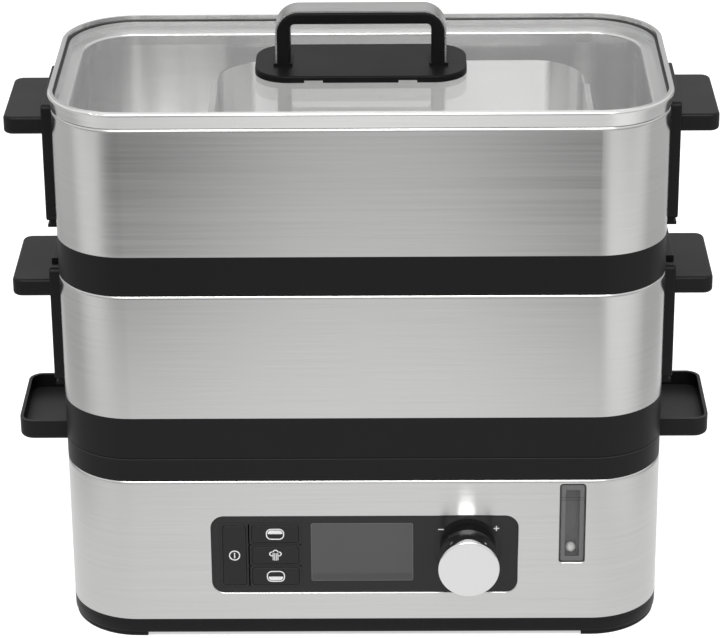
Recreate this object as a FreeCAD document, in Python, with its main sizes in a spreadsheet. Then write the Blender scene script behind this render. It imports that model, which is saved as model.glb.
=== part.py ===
import FreeCAD, Part
import math
import os
import Sketcher

# Two-tier electric food steamer: a steel base with a water tank, heater and control panel,
# two steel containers that stack on it, a loose rice tray and a glass lid.
# Millimetres. X runs to the right, Y to the back, Z up. The floor is Z = 0.
# Pieces are drawn about the middle of the housing, and one placement then centres the whole
# steamer, knob included, over the origin.

DIMENSIONS = {
    # outline shared by the base, the rings and the containers
    "body_width": 366.2,
    "body_depth": 177.0,
    "body_radius": 43.0,
    "steel": 1.2,
    "bend_radius": 2.5,
    "seat_width": 5.0,
    "rim_width": 10.0,
    "hem_height": 5.0,
    "hem_radius": 2.0,
    # heights of the stacked bands, from the floor up
    "foot_height": 2.5,
    "pan_height": 10.0,
    "housing_height": 96.3,
    "collar_height": 14.6,
    "lower_ring_height": 27.3,
    "upper_ring_height": 24.6,
    "wall_height": 80.9,
    # clearances
    "nest_gap": 0.4,
    "fit_gap": 0.15,
    "run_gap": 0.05,
    "key_gap": 0.25,
    # base pan and feet
    "pan_wall": 2.5,
    "pan_edge_radius": 6.0,
    "base_flange": 16.0,
    "boss_inset": 12.0,
    "boss_from_side": 73.1,
    "boss_radius": 4.5,
    "foot_width": 8.0,
    "foot_length": 50.1,
    "foot_depth": 46.5,
    # collar, tank and drip tray
    "shelf_width": 13.0,
    "shelf_thickness": 3.0,
    "lip_wall": 2.0,
    "lip_depth": 6.0,
    "spout_reach": 31.4,
    "spout_length": 70.6,
    "spout_depth": 12.7,
    "spout_wall": 2.0,
    "spout_floor": 3.8,
    "spout_radius": 9.0,
    "spout_edge": 2.5,
    "spout_gate_height": 6.9,
    "tank_wall": 2.0,
    "tank_depth": 72.0,
    "tank_gap": 1.0,
    "drip_end_gap": 34.1,
    "drip_radius": 20.0,
    "drip_depth": 16.0,
    "drip_wall": 2.0,
    "drip_lip": 14.0,
    # heater under the tank
    "heater_radius": 39.5,
    "heater_flange": 6.5,
    "heater_thickness": 3.0,
    "heater_rise": 3.0,
    "heater_seal": 1.0,
    "element_radius": 30.0,
    "element_tube": 4.0,
    "element_angle": 300.0,
    "element_pin_length": 14.0,
    "element_pin_radius": 3.0,
    "thermostat_radius": 10.0,
    "thermostat_height": 9.0,
    "thermostat_edge": 1.0,
    # control panel on the front
    "panel_width": 188.0,
    "panel_height": 53.0,
    "panel_radius": 8.0,
    "panel_x": 0.5,
    "panel_lift": 18.3,
    "panel_recess": 0.9,
    "panel_flange": 4.0,
    "panel_flange_thickness": 2.0,
    "cutout_edge_radius": 0.9,
    "display_height": 40.5,
    "display_raise": 1.45,
    "display_from_keys": 7.4,
    "display_from_knob": 33.4,
    "display_radius": 1.5,
    "lens_flange": 1.5,
    "lens_flange_thickness": 1.5,
    # keys
    "power_key_width": 14.2,
    "power_key_height": 41.2,
    "power_key_from_edge": 7.0,
    "menu_key_width": 28.7,
    "menu_key_height": 11.8,
    "menu_key_gap": 3.7,
    "menu_key_pitch": 14.7,
    "keys_drop": 0.6,
    "key_radius": 1.5,
    "key_edge": 0.4,
    "key_proud": 0.3,
    "key_flange": 1.2,
    "key_flange_thickness": 1.2,
    "key_rest_gap": 0.3,
    "key_travel": 0.8,
    "key_stem_radius": 1.5,
    "key_stem_length": 2.0,
    "switch_size": 6.0,
    "switch_plunger_radius": 1.5,
    "switch_plunger_height": 1.0,
    # boards
    "board_spacer": 8.0,
    "board_thickness": 1.6,
    "board_margin": 3.0,
    "board_boss_radius": 3.0,
    "board_boss_inset": 4.0,
    "small_screw_radius": 1.5,
    "small_head_radius": 2.8,
    "small_head_height": 1.8,
    "small_screw_bite": 5.0,
    "power_board_width": 80.0,
    "power_board_depth": 70.0,
    "power_board_from_side": 71.1,
    "power_board_lift": 6.0,
    "relay_length": 20.0,
    "relay_width": 16.0,
    "relay_height": 15.0,
    "relay_y": -12.0,
    "terminal_length": 30.0,
    "terminal_width": 12.0,
    "terminal_height": 12.0,
    "terminal_y": 16.0,
    # turning knob
    "knob_from_edge": 30.5,
    "knob_raise": 3.5,
    "knob_radius": 18.65,
    "knob_reach": 26.0,
    "knob_cap_length": 19.7,
    "knob_cap_wall": 2.0,
    "knob_cap_face": 2.0,
    "knob_edge_radius": 1.2,
    "knob_collar_radius": 17.0,
    "knob_stand_off": 1.2,
    "knob_well_margin": 1.85,
    "knob_well_depth": 0.8,
    "shaft_radius": 3.0,
    "shaft_grip": 15.0,
    "encoder_size": 13.0,
    "encoder_height": 6.0,
    "encoder_bush_radius": 4.5,
    "encoder_floor": 1.0,
    # water gauge
    "gauge_width": 15.6,
    "gauge_height": 53.9,
    "gauge_from_side": 55.3,
    "gauge_bend_gap": 0.1,
    "gauge_radius": 2.0,
    "gauge_flange": 0.9,
    "gauge_channel_wall": 1.5,
    "float_radius": 3.15,
    "float_gap": 0.5,
    "float_aside": 0.6,
    "float_low": 7.6,
    "float_high": 8.3,
    "gauge_port_radius": 2.0,
    # cord gland in the rear wall
    "gland_from_side": 71.1,
    "gland_lift": 23.5,
    "gland_flange_radius": 9.0,
    "gland_flange_thickness": 2.0,
    "gland_barrel_radius": 6.5,
    "gland_bore_radius": 3.7,
    "gland_length": 14.0,
    "gland_nut_radius": 9.5,
    "gland_nut_thickness": 4.0,
    # container floors
    "floor_flange": 12.0,
    "floor_inset": 3.0,
    "floor_hole_radius": 4.0,
    "floor_hole_pitch": 28.0,
    "floor_hole_columns": 11,
    "ring_shelf": 16.0,
    "ring_shelf_thickness": 3.0,
    # side handles
    "strap_width": 74.0,
    "strap_thickness": 7.4,
    "strap_corner": 3.0,
    "strap_edge": 0.8,
    "strap_top_drop": 4.6,
    "strap_clear": 2.0,
    "tongue_width": 60.0,
    "tongue_thickness": 5.8,
    "tongue_depth": 6.4,
    "tongue_lip": 1.5,
    "tongue_lip_height": 1.8,
    "barb_width": 40.0,
    "barb_height": 2.0,
    "barb_depth": 2.6,
    "barb_drop": 2.6,
    "grip_reach": 30.6,
    "grip_width": 71.8,
    "grip_thickness": 11.0,
    "grip_top_drop": 12.2,
    "grip_corner": 6.0,
    "grip_edge": 2.0,
    "grip_recess_inset": 5.0,
    "grip_recess_depth": 6.0,
    "slot_length": 11.0,
    "slot_depth": 4.0,
    "slot_y": -25.0,
    "slot_wall": 2.0,
    "handle_screw_spacing": 44.0,
    "handle_screw_drop": 36.0,
    "handle_screw_radius": 2.0,
    "handle_screw_bite": 5.0,
    "handle_head_radius": 4.0,
    "handle_head_height": 2.2,
    # base screws
    "base_screw_radius": 2.0,
    "base_head_radius": 3.6,
    "base_head_height": 2.0,
    "base_screw_tip": 4.0,
    # loose rice tray
    "tray_width": 226.5,
    "tray_depth": 145.0,
    "tray_radius": 30.0,
    "tray_height": 62.5,
    "tray_wall": 1.0,
    "tray_bottom_radius": 8.0,
    "tray_x": 23.75,
    "tray_ear_reach": 2.6,
    "tray_ear_length": 58.0,
    "tray_ear_thickness": 1.0,
    # lid
    "lid_overhang": 2.0,
    "lid_skirt_height": 9.7,
    "lid_rim_width": 3.6,
    "lid_rim_radius": 1.6,
    "lid_bend_radius": 2.0,
    "gasket_upstand": 1.2,
    "gasket_foot": 3.0,
    "gasket_thickness": 1.2,
    "gasket_proud": 0.5,
    "glass_thickness": 4.0,
    # lid handle
    "plate_width": 127.0,
    "plate_depth": 59.4,
    "plate_radius": 20.0,
    "plate_height": 4.0,
    "plate_edge": 1.2,
    "plate_wall": 3.0,
    "plate_hollow": 1.5,
    "vent_width": 11.0,
    "vent_x": 28.0,
    "vent_radius": 3.0,
    "bow_width": 102.4,
    "bow_height": 33.6,
    "bow_depth": 19.8,
    "bow_post": 9.0,
    "bow_bar": 8.0,
    "bow_radius": 14.0,
    "bow_inner_radius": 3.0,
    "bow_edge": 1.4,
    "bow_foot_margin": 1.2,
    "bow_foot_height": 1.6,
    "trim_thickness": 1.0,
    "lid_screw_radius": 2.0,
    "lid_screw_bite": 12.0,
    "lid_head_radius": 4.5,
    "lid_head_height": 2.5,
    "washer_radius": 7.0,
    "washer_thickness": 1.5,
}

# Rows of drain holes in a container's floor, an odd count so that one row runs down the middle
FLOOR_HOLE_ROWS = 5

TOP = "XY_Plane"
FRONT = "XZ_Plane"
SIDE = "YZ_Plane"

document = FreeCAD.newDocument("food_steamer")
sheet = document.addObject("Spreadsheet::Sheet", "dims")
for row, (alias, size) in enumerate(DIMENSIONS.items(), start=1):
    sheet.set(f"A{row}", alias)
    sheet.set(f"B{row}", str(size))
    sheet.setAlias(f"B{row}", alias)
# Evaluates formulas on the sheet where a sketch needs a starting value
reader = document.addObject("App::FeaturePython", "reader")
document.recompute()

# Levels of the stack, worked out from the heights of its bands
PAN_BOTTOM = "dims.foot_height"
PAN_FLOOR = f"({PAN_BOTTOM} + dims.pan_wall)"
HOUSING_BOTTOM = f"({PAN_BOTTOM} + dims.pan_height)"
COLLAR_BOTTOM = f"({HOUSING_BOTTOM} + dims.housing_height)"
SHELF_TOP = f"({COLLAR_BOTTOM} + dims.shelf_thickness)"
TANK_TOP = f"({SHELF_TOP} + dims.tank_wall)"
TANK_BOTTOM = f"({SHELF_TOP} - dims.tank_depth)"
COLLAR_TOP = f"({COLLAR_BOTTOM} + dims.collar_height)"
LOWER_WALL_BOTTOM = f"({COLLAR_TOP} + dims.lower_ring_height)"
LOWER_WALL_TOP = f"({LOWER_WALL_BOTTOM} + dims.wall_height)"
UPPER_WALL_BOTTOM = f"({LOWER_WALL_TOP} + dims.upper_ring_height)"
LID_BOTTOM = f"({UPPER_WALL_BOTTOM} + dims.wall_height)"
LID_LEDGE_TOP = f"({LID_BOTTOM} + dims.steel)"
GLASS_BOTTOM = f"({LID_LEDGE_TOP} + dims.gasket_thickness)"
GLASS_TOP = f"({GLASS_BOTTOM} + dims.glass_thickness)"
PLATE_TOP = f"({GLASS_TOP} + dims.plate_height)"
BOW_TOP = f"({PLATE_TOP} + dims.bow_height)"

# Depths in front of the middle of the housing, positive towards the user
FACE = "dims.body_depth / 2"
WALL_BACK = f"({FACE} - dims.steel)"
PANEL_FACE = f"({FACE} - dims.panel_recess)"
PANEL_BACK = f"({WALL_BACK} - dims.panel_flange_thickness)"
BOARD_FACE = f"({PANEL_BACK} - dims.board_spacer)"
KNOB_FRONT = f"({FACE} + dims.knob_reach)"
TANK_INSET = "(dims.seat_width + dims.shelf_width + dims.tank_gap)"
TANK_FRONT = f"({FACE} - {TANK_INSET})"
GAUGE_BACK = f"({WALL_BACK} - dims.lens_flange_thickness)"
SEAT_LIP_INSET = "(dims.seat_width + dims.nest_gap)"
RIM_LIP_INSET = "(dims.rim_width + dims.nest_gap)"
LID_PLUG_INSET = f"({RIM_LIP_INSET} + dims.steel)"
KNOB_BACK = f"({PANEL_FACE} + dims.knob_stand_off)"
CAP_BACK = f"({KNOB_FRONT} - dims.knob_cap_length)"
KEY_FLANGE_FRONT = f"({PANEL_BACK} - dims.key_rest_gap)"
KEY_STEM_FRONT = f"({KEY_FLANGE_FRONT} - dims.key_flange_thickness)"
KEY_TIP = f"({KEY_STEM_FRONT} - dims.key_stem_length)"
SWITCH_TOP = f"({KEY_TIP} - dims.key_travel - dims.fit_gap)"
CENTRING = f"({KNOB_FRONT} - {FACE} - dims.gland_flange_thickness) / 2"

# Places across the front, worked out from the edges of the housing and of the panel
PANEL_Z = f"({HOUSING_BOTTOM} + dims.panel_lift + dims.panel_height / 2)"
KEYS_Z = f"({PANEL_Z} - dims.keys_drop)"
PANEL_LEFT = "(dims.panel_x - dims.panel_width / 2)"
PANEL_RIGHT = "(dims.panel_x + dims.panel_width / 2)"
POWER_KEY_LEFT = f"({PANEL_LEFT} + dims.power_key_from_edge)"
POWER_KEY_X = f"({POWER_KEY_LEFT} + dims.power_key_width / 2)"
MENU_KEY_LEFT = f"({POWER_KEY_LEFT} + dims.power_key_width + dims.menu_key_gap)"
MENU_KEY_X = f"({MENU_KEY_LEFT} + dims.menu_key_width / 2)"
KNOB_X = f"({PANEL_RIGHT} - dims.knob_from_edge)"
KNOB_Z = f"({PANEL_Z} + dims.knob_raise)"
DISPLAY_LEFT = f"({MENU_KEY_LEFT} + dims.menu_key_width + dims.display_from_keys)"
DISPLAY_RIGHT = f"({KNOB_X} - dims.display_from_knob)"
DISPLAY_WIDTH = f"({DISPLAY_RIGHT} - {DISPLAY_LEFT})"
GAUGE_X = "(dims.body_width / 2 - dims.gauge_from_side)"
GAUGE_TOP = f"({COLLAR_BOTTOM} - dims.bend_radius - dims.gauge_bend_gap - dims.gauge_flange)"
FLOAT_X = f"({GAUGE_X} - dims.float_aside)"
FLOAT_Z = f"({GAUGE_TOP} - dims.gauge_height + dims.float_low)"
FLOAT_RISE = "(dims.gauge_height - dims.float_low - dims.float_high)"
POWER_BOARD_X = "(dims.power_board_from_side - dims.body_width / 2)"
GLAND_X = "(dims.gland_from_side - dims.body_width / 2)"
GLAND_Z = f"({HOUSING_BOTTOM} + dims.gland_lift)"


def number(formula):
    """Value of a formula on the sheet's dimensions."""
    return float(reader.evalExpression(formula))


def new_piece(label):
    """Body for one sub-part, placed so that the whole steamer is centred over the origin."""
    body = document.addObject("PartDesign::Body", label)
    body.Label = label
    body.setExpression("Placement.Base.y", CENTRING)
    return body


def new_sketch(body, name, plane, centre, offset):
    """Sketch on one of the body's own planes, moved to a centre on it and off it along its normal."""
    origin = [item for item in body.Origin.OriginFeatures if item.Role == plane][0]
    sketch = body.newObject("Sketcher::SketchObject", name)
    sketch.AttachmentSupport = [(origin, "")]
    sketch.MapMode = "FlatFace"
    sketch.setExpression("AttachmentOffset.Base.x", centre[0])
    sketch.setExpression("AttachmentOffset.Base.y", centre[1])
    sketch.setExpression("AttachmentOffset.Base.z", offset)
    return sketch


def bind(sketch, constraint, formula):
    """Add a dimension to a sketch and tie it to the sheet."""
    index = sketch.addConstraint(constraint)
    sketch.setExpression(f"Constraints[{index}]", formula)


def draw_rectangle(sketch, width, height, radius):
    """Rounded rectangle about the sketch's origin, or a plain one where the radius is None."""
    half_width = number(width) / 2
    half_height = number(height) / 2
    corner = number(radius) if radius else 0.0
    straight_x = half_width - corner
    straight_y = half_height - corner
    ends = [
        ((-straight_x, -half_height), (straight_x, -half_height)),
        ((half_width, -straight_y), (half_width, straight_y)),
        ((straight_x, half_height), (-straight_x, half_height)),
        ((-half_width, straight_y), (-half_width, -straight_y)),
    ]
    centres = [
        (straight_x, -straight_y),
        (straight_x, straight_y),
        (-straight_x, straight_y),
        (-straight_x, -straight_y),
    ]
    lines = []
    arcs = []
    for start, end in ends:
        segment = Part.LineSegment(FreeCAD.Vector(*start, 0), FreeCAD.Vector(*end, 0))
        lines.append(sketch.addGeometry(segment, False))
    if radius:
        for quarter, centre in enumerate(centres):
            circle = Part.Circle(FreeCAD.Vector(*centre, 0), FreeCAD.Vector(0, 0, 1), corner)
            start_angle = math.radians(90 * quarter - 90)
            end_angle = math.radians(90 * quarter)
            arcs.append(sketch.addGeometry(Part.ArcOfCircle(circle, start_angle, end_angle), False))
    for quarter in range(4):
        line = lines[quarter]
        following = lines[(quarter + 1) % 4]
        if radius:
            sketch.addConstraint(Sketcher.Constraint("Tangent", line, 2, arcs[quarter], 1))
            sketch.addConstraint(Sketcher.Constraint("Tangent", arcs[quarter], 2, following, 1))
        else:
            sketch.addConstraint(Sketcher.Constraint("Coincident", line, 2, following, 1))
    for line in (lines[0], lines[2]):
        sketch.addConstraint(Sketcher.Constraint("Horizontal", line))
    for line in (lines[1], lines[3]):
        sketch.addConstraint(Sketcher.Constraint("Vertical", line))
    if radius:
        for arc in arcs[1:]:
            sketch.addConstraint(Sketcher.Constraint("Equal", arcs[0], arc))
        bind(sketch, Sketcher.Constraint("Radius", arcs[0], corner), radius)
    bind(sketch, Sketcher.Constraint("DistanceX", lines[3], 1, lines[1], 1, 2 * half_width), width)
    bind(sketch, Sketcher.Constraint("DistanceY", lines[0], 1, lines[2], 1, 2 * half_height), height)
    sketch.addConstraint(Sketcher.Constraint("Symmetric", lines[0], 1, lines[2], 1, -1, 1))


def draw_circles(sketch, radius, spots):
    """Equal circles at spots given as formulas from the sketch's origin."""
    first = None
    for across, up in spots:
        middle = FreeCAD.Vector(number(across), number(up), 0)
        circle = Part.Circle(middle, FreeCAD.Vector(0, 0, 1), number(radius))
        index = sketch.addGeometry(circle, False)
        if first is None:
            first = index
            bind(sketch, Sketcher.Constraint("Radius", index, number(radius)), radius)
        else:
            sketch.addConstraint(Sketcher.Constraint("Equal", first, index))
        if across == "0":
            sketch.addConstraint(Sketcher.Constraint("PointOnObject", index, 3, -2))
        else:
            bind(sketch, Sketcher.Constraint("DistanceX", -1, 1, index, 3, middle.x), across)
        if up == "0":
            sketch.addConstraint(Sketcher.Constraint("PointOnObject", index, 3, -1))
        else:
            bind(sketch, Sketcher.Constraint("DistanceY", -1, 1, index, 3, middle.y), up)


def raise_pad(body, sketch, length, taper=None):
    """Pad a sketch along its normal, flared by the taper angle where one is given."""
    pad = body.newObject("PartDesign::Pad", f"{sketch.Name}_pad")
    pad.Profile = sketch
    pad.setExpression("Length", length)
    if taper:
        pad.setExpression("TaperAngle", taper)
    document.recompute()


def sink_pocket(body, sketch, length):
    """Cut a sketch out of the body along its normal, and make sure that it met the solid."""
    before = body.Shape.Volume
    pocket = body.newObject("PartDesign::Pocket", f"{sketch.Name}_pocket")
    pocket.Profile = sketch
    pocket.Reversed = True
    pocket.setExpression("Length", length)
    document.recompute()
    if body.Shape.Volume > before - 1e-6:
        raise RuntimeError(f"{sketch.Name} cuts nothing from {body.Label}")


def add_block(body, name, width, height, radius, offset, length, plane=TOP, centre=("0", "0")):
    """Pad of a rounded rectangle: it starts at the offset and grows along the plane's normal."""
    sketch = new_sketch(body, name, plane, centre, offset)
    draw_rectangle(sketch, width, height, radius)
    raise_pad(body, sketch, length)


def cut_block(body, name, width, height, radius, offset, length, plane=TOP, centre=("0", "0")):
    """Pocket of a rounded rectangle, from the offset along the plane's normal."""
    sketch = new_sketch(body, name, plane, centre, offset)
    draw_rectangle(sketch, width, height, radius)
    sink_pocket(body, sketch, length)


def add_rods(body, name, radius, spots, offset, length, plane=TOP):
    """Pad of equal circles."""
    sketch = new_sketch(body, name, plane, ("0", "0"), offset)
    draw_circles(sketch, radius, spots)
    raise_pad(body, sketch, length)


def cut_ring(body, name, outline, island, offset, length):
    """Pocket between two rounded rectangles, one inside the other."""
    sketch = new_sketch(body, name, TOP, ("0", "0"), offset)
    draw_rectangle(sketch, *outline)
    draw_rectangle(sketch, *island)
    sink_pocket(body, sketch, length)


def cut_rods(body, name, radius, spots, offset, length, plane=TOP):
    """Pocket of equal circles."""
    sketch = new_sketch(body, name, plane, ("0", "0"), offset)
    draw_circles(sketch, radius, spots)
    sink_pocket(body, sketch, length)


def inset_outline(inset):
    """Width, depth and corner radius of the shared body outline, moved inwards."""
    width = f"dims.body_width - 2 * {inset}"
    depth = f"dims.body_depth - 2 * {inset}"
    radius = f"dims.body_radius - {inset}"
    return width, depth, radius


def lid_outline(inset):
    """Width, depth and corner radius of the lid's outline at its top, moved inwards."""
    return inset_outline(f"({inset} - dims.lid_overhang)")


def rim_edges(shape, normal, level, outer=True):
    """Names of the edges round the flat faces at a level: their outer ring or their inner rings."""
    names = []
    for face in shape.Faces:
        if not isinstance(face.Surface, Part.Plane):
            continue
        if face.normalAt(0, 0).dot(normal) < 0.999:
            continue
        if abs(face.CenterOfMass.dot(normal) - level) > 1e-4:
            continue
        for wire in face.Wires:
            if wire.isSame(face.OuterWire) != outer:
                continue
            for edge in wire.Edges:
                for index, candidate in enumerate(shape.Edges, start=1):
                    if candidate.isSame(edge):
                        names.append(f"Edge{index}")
    return names


def dress_edges(body, name, kind, size, normal, level, outer):
    """Fillet or chamfer the edges of the faces that look along a normal at a level."""
    base = body.Tip
    names = rim_edges(base.Shape, FreeCAD.Vector(*normal), level, outer)
    if not names:
        raise RuntimeError(f"{name} finds no edge on {body.Label}")
    feature = body.newObject(f"PartDesign::{kind}", name)
    feature.Base = (base, names)
    feature.setExpression("Radius" if kind == "Fillet" else "Size", size)
    document.recompute()


def soften(body, name, radius, normal, level, outer=True):
    """Round the edges of the faces that look along a normal at a level."""
    dress_edges(body, name, "Fillet", radius, normal, level, outer)


def bevel(body, name, size, normal, level, outer=True):
    """Bevel the edges of the faces that look along a normal at a level."""
    dress_edges(body, name, "Chamfer", size, normal, level, outer)


def square_spots(centre_x, half_x, centre_y, half_y):
    """Four spots at the corners of a rectangle."""
    spots = []
    for side_x in (-1, 1):
        for side_y in (-1, 1):
            spots.append((f"{centre_x} + {side_x} * {half_x}", f"{centre_y} + {side_y} * {half_y}"))
    return spots


BOSS_SPOTS = square_spots(
    "0",
    "(dims.body_width / 2 - dims.boss_from_side)",
    "0",
    "(dims.body_depth / 2 - dims.boss_inset)",
)
POWER_BOARD_BOTTOM = f"({PAN_FLOOR} + dims.power_board_lift)"
POWER_BOARD_TOP = f"({POWER_BOARD_BOTTOM} + dims.board_thickness)"
POWER_BOARD_SPOTS = square_spots(
    POWER_BOARD_X,
    "(dims.power_board_width / 2 - dims.board_boss_inset)",
    "0",
    "(dims.power_board_depth / 2 - dims.board_boss_inset)",
)
CONTROL_BOARD_SPOTS = square_spots(
    "dims.panel_x",
    "(dims.panel_width / 2 + dims.board_margin - dims.board_boss_inset)",
    PANEL_Z,
    "(dims.panel_height / 2 - dims.board_margin - dims.board_boss_inset)",
)
PANEL_CENTRE = ("dims.panel_x", PANEL_Z)
DISPLAY_CENTRE = (f"({DISPLAY_LEFT} + {DISPLAY_RIGHT}) / 2", f"{PANEL_Z} + dims.display_raise")
GAUGE_CENTRE = (GAUGE_X, f"{GAUGE_TOP} - dims.gauge_height / 2")
KNOB_SPOT = [(KNOB_X, KNOB_Z)]
GLAND_SPOT = [(GLAND_X, GLAND_Z)]
FLOAT_SPOT = [(FLOAT_X, FLOAT_Z)]
MIDDLE_SPOT = [("0", "0")]
KEYS = {
    "power_key": ("dims.power_key_width", "dims.power_key_height", POWER_KEY_X, KEYS_Z),
}
for steps_up, key_label in ((1, "upper_tier_key"), (0, "steam_key"), (-1, "lower_tier_key")):
    key_z = f"{KEYS_Z} + {steps_up} * dims.menu_key_pitch"
    KEYS[key_label] = ("dims.menu_key_width", "dims.menu_key_height", MENU_KEY_X, key_z)


def make_feet():
    """Four curved rubber pads under the corners of the base."""
    body = new_piece("feet")
    inner = "(dims.pan_edge_radius + dims.foot_width)"
    add_block(body, "foot_outline", *inset_outline("dims.pan_edge_radius"), "0", "dims.foot_height")
    cut_block(body, "foot_inside", *inset_outline(inner), "0", "dims.foot_height")
    long_gap = ("dims.body_width - 2 * dims.foot_length", "dims.body_depth", None)
    cut_block(body, "long_gap", *long_gap, "0", "dims.foot_height")
    short_gap = ("dims.body_width", "dims.body_depth - 2 * dims.foot_depth", None)
    cut_block(body, "short_gap", *short_gap, "0", "dims.foot_height")
    return body


def make_base_pan():
    """Plastic pan that closes the base from below, with bosses for the screws and the power board."""
    body = new_piece("base_pan")
    add_block(body, "pan_outline", *inset_outline("0"), PAN_BOTTOM, "dims.pan_height")
    soften(body, "pan_edge", "dims.pan_edge_radius", (0, 0, -1), -number(PAN_BOTTOM))
    inside = inset_outline("(dims.pan_wall + dims.steel)")
    cut_block(body, "pan_inside", *inside, PAN_FLOOR, "dims.pan_height")
    boss_height = "dims.pan_height - dims.pan_wall"
    add_rods(body, "screw_bosses", "dims.boss_radius", BOSS_SPOTS, PAN_FLOOR, boss_height)
    posts = "dims.board_boss_radius"
    add_rods(body, "board_posts", posts, POWER_BOARD_SPOTS, PAN_FLOOR, "dims.power_board_lift")
    hole = "dims.base_screw_radius + dims.fit_gap"
    cut_rods(body, "screw_holes", hole, BOSS_SPOTS, PAN_BOTTOM, "dims.pan_height")
    well = "dims.base_head_radius + dims.fit_gap"
    cut_rods(body, "head_wells", well, BOSS_SPOTS, PAN_BOTTOM, "dims.base_head_height + dims.fit_gap")
    pilot = "dims.small_screw_radius + dims.run_gap"
    cut_rods(body, "board_pilots", pilot, POWER_BOARD_SPOTS, PAN_FLOOR, "dims.power_board_lift")
    return body


def make_base_screws():
    """Screws from below that hold the pan to the flange of the housing."""
    body = new_piece("base_screws")
    head_bottom = f"({PAN_BOTTOM} + dims.fit_gap)"
    add_rods(body, "heads", "dims.base_head_radius", BOSS_SPOTS, head_bottom, "dims.base_head_height")
    shank_bottom = f"({head_bottom} + dims.base_head_height)"
    shank = f"{HOUSING_BOTTOM} + dims.steel + dims.base_screw_tip - {shank_bottom}"
    add_rods(body, "shanks", "dims.base_screw_radius", BOSS_SPOTS, shank_bottom, shank)
    return body


def add_sleeve(body, bottom, height, bottom_flange, rim):
    """Sheet-steel sleeve on the body outline, folded in at its bottom and hemmed round its top."""
    top = f"({bottom} + {height})"
    under_top = f"({top} - dims.steel)"
    hem_bottom = f"({top} - dims.hem_height)"
    add_block(body, "sleeve", *inset_outline("0"), bottom, height)
    soften(body, "top_bend", "dims.bend_radius", (0, 0, 1), number(top))
    cut_block(body, "core", *inset_outline(bottom_flange), bottom, f"{height} - dims.hem_height")
    inside_height = f"{height} - dims.steel - dims.hem_height"
    cut_block(body, "inside", *inset_outline("dims.steel"), f"{bottom} + dims.steel", inside_height)
    groove = (inset_outline("dims.steel"), inset_outline(f"({rim} - dims.steel)"))
    cut_ring(body, "hem_groove", *groove, hem_bottom, "dims.hem_height - dims.steel")
    soften(body, "inner_bend", "dims.bend_radius - dims.steel", (0, 0, -1), -number(under_top))
    cut_block(body, "mouth", *inset_outline(rim), hem_bottom, "dims.hem_height")
    soften(body, "mouth_bend", "dims.hem_radius", (0, 0, 1), number(top), outer=False)


def make_base_housing():
    """Brushed steel sleeve of the base, with windows for the panel and the gauge in its front."""
    body = new_piece("base_housing")
    add_sleeve(body, HOUSING_BOTTOM, "dims.housing_height", "dims.base_flange", "dims.seat_width")
    window = ("dims.panel_width", "dims.panel_height", "dims.panel_radius")
    cut_block(body, "panel_window", *window, WALL_BACK, "dims.steel", FRONT, PANEL_CENTRE)
    slit = ("dims.gauge_width", "dims.gauge_height", "dims.gauge_radius")
    cut_block(body, "gauge_slit", *slit, WALL_BACK, "dims.steel", FRONT, GAUGE_CENTRE)
    soften(body, "window_edges", "dims.cutout_edge_radius", (0, -1, 0), number(FACE), outer=False)
    hole = "dims.gland_barrel_radius + dims.fit_gap"
    cut_rods(body, "gland_hole", hole, GLAND_SPOT, f"-{FACE}", "dims.steel", FRONT)
    screw_hole = "dims.base_screw_radius + dims.fit_gap"
    cut_rods(body, "screw_holes", screw_hole, BOSS_SPOTS, HOUSING_BOTTOM, "dims.steel")
    return body


def make_base_collar():
    """Plastic collar on the base: it carries the tank and has a filling spout at each end."""
    body = new_piece("base_collar")
    spout_bottom = f"({COLLAR_TOP} - dims.spout_depth)"
    spout_floor = f"({spout_bottom} + dims.spout_floor)"
    plug_bottom = f"({COLLAR_BOTTOM} - dims.lip_depth)"
    bar = ("dims.body_width + 2 * dims.spout_reach", "dims.spout_length", "dims.spout_radius")
    add_block(body, "spout_bar", *bar, spout_bottom, "dims.spout_depth")
    soften(body, "spout_edges", "dims.spout_edge", (0, 0, -1), -number(spout_bottom))
    add_block(body, "collar_band", *inset_outline("0"), COLLAR_BOTTOM, "dims.collar_height")
    add_block(body, "plug", *inset_outline(SEAT_LIP_INSET), plug_bottom, "dims.lip_depth")
    cut_block(body, "well", *inset_outline("dims.seat_width"), SHELF_TOP, "dims.collar_height")
    opening = inset_outline("(dims.seat_width + dims.shelf_width)")
    cut_block(body, "opening", *opening, plug_bottom, "dims.collar_height + dims.lip_depth")
    plug_inside = inset_outline(f"({SEAT_LIP_INSET} + dims.lip_wall)")
    cut_block(body, "plug_inside", *plug_inside, plug_bottom, "dims.lip_depth")
    hollow = (
        "dims.spout_reach - dims.spout_wall",
        "dims.spout_length - 2 * dims.spout_wall",
        "dims.spout_radius - dims.spout_wall",
    )
    gate = ("2 * dims.seat_width", "dims.spout_length - 2 * dims.spout_radius", None)
    for side, word in ((-1, "left"), (1, "right")):
        middle = f"{side} * (dims.body_width / 2 + (dims.spout_reach - dims.spout_wall) / 2)"
        cut_block(body, f"{word}_spout", *hollow, spout_floor, "dims.spout_depth", TOP, (middle, "0"))
        wall = f"{side} * (dims.body_width / 2 - dims.seat_width / 2)"
        cut_block(body, f"{word}_gate", *gate, spout_floor, "dims.spout_gate_height", TOP, (wall, "0"))
    return body


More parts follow.
